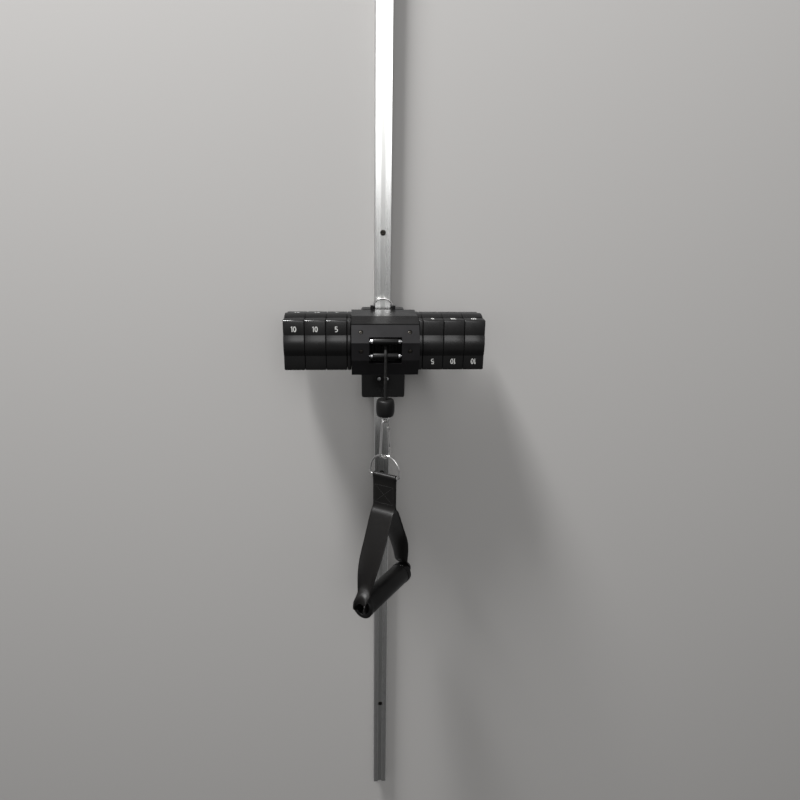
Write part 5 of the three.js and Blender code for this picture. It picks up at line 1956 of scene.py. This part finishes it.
    def grip(self, shop: Workshop) -> None:
        """Turn the grip's tube with its two collars, and the rubber sleeve between them."""
        place = stand(HANG_STANDOFF, math.radians(self.grip_yaw), self.grip_axis)
        place = place @ Matrix.Translation((self.grip_slip, 0.0, 0.0))
        lathe = Lathe(Axis.X, sides=72)
        length, sleeve = self.half_length, self.half_length - self.collar_width
        end = [
            (self.bore_radius, length, 1.2),
            (self.collar_radius, length, 1.4),
            (self.collar_radius, sleeve, 0.5),
            (self.core_radius, sleeve),
        ]
        profile = rounded(mirrored(end), 4, closed=True)
        shop.turned("grip_core", lathe, profile, place, endless=True)
        reach, inner = sleeve - SEAT_GAP, self.core_radius + SEAT_GAP
        outside = mirrored([(inner, reach), (self.sleeve_radius, reach, 0.8)])
        profile = rounded(outside, closed=True)
        shop.turned("grip_sleeve", lathe, profile, place, endless=True)

    def build(self, shop: Workshop) -> None:
        """Build the handle."""
        self.ring(shop)
        self.webbing(shop)
        self.stitches(shop)
        self.grip(shop)


ASSEMBLIES = (
    Rope,
    Rail,
    CarriageBlock,
    Housing,
    Fairlead,
    Spool,
    SpringPacks,
    RopeEnd,
    SnapHook,
    Handle,
)


# Light, backdrop and camera


@dataclass
class Camera:
    """The photograph's camera, placed by the rail and the packs."""

    place: Point = (-44.73 * MM, -995.99 * MM, 207.22 * MM)
    pitch_down: float = math.radians(18.08)
    yaw: float = math.radians(4.37)
    roll: float = math.radians(-0.91)
    lens_mm: float = 27.605
    sensor_mm: float = 36.0

    def build(self) -> None:
        """Make the camera and give it to the scene."""
        ahead, aside = unit(self.yaw)
        across, drop = unit(self.pitch_down)
        forward = Vector((aside * across, ahead * across, -drop))
        level = Vector((ahead, -aside, 0.0))
        down = forward.cross(level)
        right = math.cos(self.roll) * level + math.sin(self.roll) * down
        below = math.cos(self.roll) * down - math.sin(self.roll) * level
        turn = Matrix((right, -below, -forward)).transposed()
        data = bpy.data.cameras.new("photo_camera")
        data.sensor_width = self.sensor_mm
        data.lens = self.lens_mm
        data.clip_start = 0.01
        camera = bpy.data.objects.new("photo_camera", data)
        camera.matrix_world = Matrix.Translation(Vector(self.place)) @ turn.to_4x4()
        bpy.context.scene.collection.objects.link(camera)
        bpy.context.scene.camera = camera


@dataclass
class Studio:
    """A plain wall and floor, a soft lamp high up, a lit front to the room, and a dim foot."""

    wall_gap: float = 0.8 * MM
    wall_half: float = 4.0
    floor_drop: float = 0.9
    floor_reach: float = 3.6
    wall_colour: Colour = (0.425, 0.416, 0.407)
    floor_colour: Colour = (0.50, 0.495, 0.49)
    key_place: Point = (-0.95, -0.55, 2.6)
    key_aim: Point = (0.0, -0.05, -0.1)
    key_size: tuple[float, float] = (0.55, 0.55)
    key_power: float = 184.0
    panel_place: tuple[float, float] = (0.1, -2.7)
    panel_width: float = 1.6
    panels: tuple[tuple[float, float, float], ...] = ((0.40, 1.15, 11.0), (1.15, 2.75, 14.5))
    behind_level: float = 0.25
    seen_level: float = 0.62
    room: tuple[tuple[float, float], ...] = (
        (-90.0, 0.05),
        (-47.0, 0.075),
        (-38.0, 0.065),
        (-31.0, 0.12),
        (-25.0, 0.20),
        (-19.0, 0.22),
        (-8.0, 0.17),
        (0.0, 0.40),
        (12.0, 0.48),
        (40.0, 0.38),
        (60.0, 0.60),
        (75.0, 1.10),
        (90.0, 1.20),
    )

    def backdrop_material(self, name: str, colour: Colour) -> bpy.types.Material:
        """A pale surface that only the camera sees, from its front, and that blocks no other light.

        Args:
            name: The material's name.
            colour: The backdrop's colour.

        Returns:
            The material.
        """
        sheet = NodeSheet(name)
        seen = sheet.node("ShaderNodeLightPath", output="Is Camera Ray")
        front = 1.0 - sheet.node("ShaderNodeNewGeometry", output="Backfacing")
        pale = sheet.node("ShaderNodeBsdfDiffuse", inputs={"Color": (*colour, 1.0)})
        clear = sheet.node("ShaderNodeBsdfTransparent")
        inputs = {0: seen * front, 1: clear, 2: pale}
        sheet.node_output(sheet.node("ShaderNodeMixShader", inputs=inputs))
        return sheet.material

    def sheet_of(self, name: str, corners: Sequence[Point], material: bpy.types.Material) -> None:
        """A flat backdrop.

        Args:
            name: The object's name.
            corners: Its corners, turning so that its front faces the object.
            material: Its material.
        """
        mesh = bpy.data.meshes.new(name)
        mesh.from_pydata(corners, [], [tuple(range(len(corners)))])
        mesh.materials.append(material)
        backdrop = bpy.data.objects.new(name, mesh)
        bpy.context.scene.collection.objects.link(backdrop)

    def lamp(
        self, name: str, place: Point, aim: Point, size: tuple[float, float], power: float
    ) -> None:
        """A soft lamp.

        Args:
            name: The lamp's name.
            place: Where it stands.
            aim: What it points at.
            size: Its two sides, in metres.
            power: Its power, in watts.
        """
        data = bpy.data.lights.new(name, "AREA")
        data.shape = "RECTANGLE"
        data.size, data.size_y = size
        data.energy = power
        lamp = bpy.data.objects.new(name, data)
        lamp.location = place
        lamp.rotation_mode = "QUATERNION"
        lamp.rotation_quaternion = (Vector(aim) - Vector(place)).to_track_quat("-Z", "Y")
        bpy.context.scene.collection.objects.link(lamp)

    def surroundings(self) -> None:
        """A room in levels in front and plain behind, and pale where the camera sees past it."""
        sheet = NodeSheet("room", world=True)
        direction = sheet.node("ShaderNodeTexCoord", output="Generated")
        height = sheet.part_of(direction, "Z").ramp(-1.0, 1.0)
        behind = sheet.part_of(direction, "Y").ramp(-0.4, 0.0)
        stops = []
        for angle, level in self.room:
            stops.append(((math.sin(math.radians(angle)) + 1.0) / 2, (level,) * 3))
        front = sheet.node("ShaderNodeValToRGB", {"stops": stops}, {0: height})
        light = sheet.tint(behind, front, (self.behind_level,) * 3)
        seen = sheet.node("ShaderNodeLightPath", output="Is Camera Ray")
        shown = sheet.tint(seen, light, (self.seen_level,) * 3)
        glow = sheet.node("ShaderNodeBackground", inputs={"Color": shown})
        sheet.node_output(glow, "ShaderNodeOutputWorld")
        bpy.context.scene.world = sheet.material

    def build(self) -> None:
        """Make the backdrop, the lamp and the room's light."""
        low, _ = cad_box
        ground = low.z - self.floor_drop
        half, back, reach = self.wall_half, self.wall_gap, self.floor_reach
        foot = [(-half, back, ground), (half, back, ground)]
        wall = [*foot, (half, back, half), (-half, back, half)]
        floor = [(-half, -reach, ground), (half, -reach, ground), *reversed(foot)]
        self.sheet_of("backdrop_wall", wall, self.backdrop_material("pale_wall", self.wall_colour))
        self.sheet_of("floor", floor, self.backdrop_material("pale_floor", self.floor_colour))
        self.lamp("ceiling_lamp", self.key_place, self.key_aim, self.key_size, self.key_power)
        x, y = self.panel_place
        for i, (foot, top, power) in enumerate(self.panels):
            middle, size = (foot + top) / 2, (self.panel_width, top - foot)
            self.lamp(f"front_panel_{i + 1}", (x, y, middle), (x, 0.0, middle), size, power)
        self.surroundings()
        bpy.context.scene.view_settings.view_transform = "Standard"


def main() -> None:
    """Build everything in order."""
    logging.basicConfig(level=logging.INFO)
    Camera().build()
    shop = Workshop()
    for assembly in ASSEMBLIES:
        assembly().build(shop)
    Studio().build()


if __name__ == "__main__":
    main()
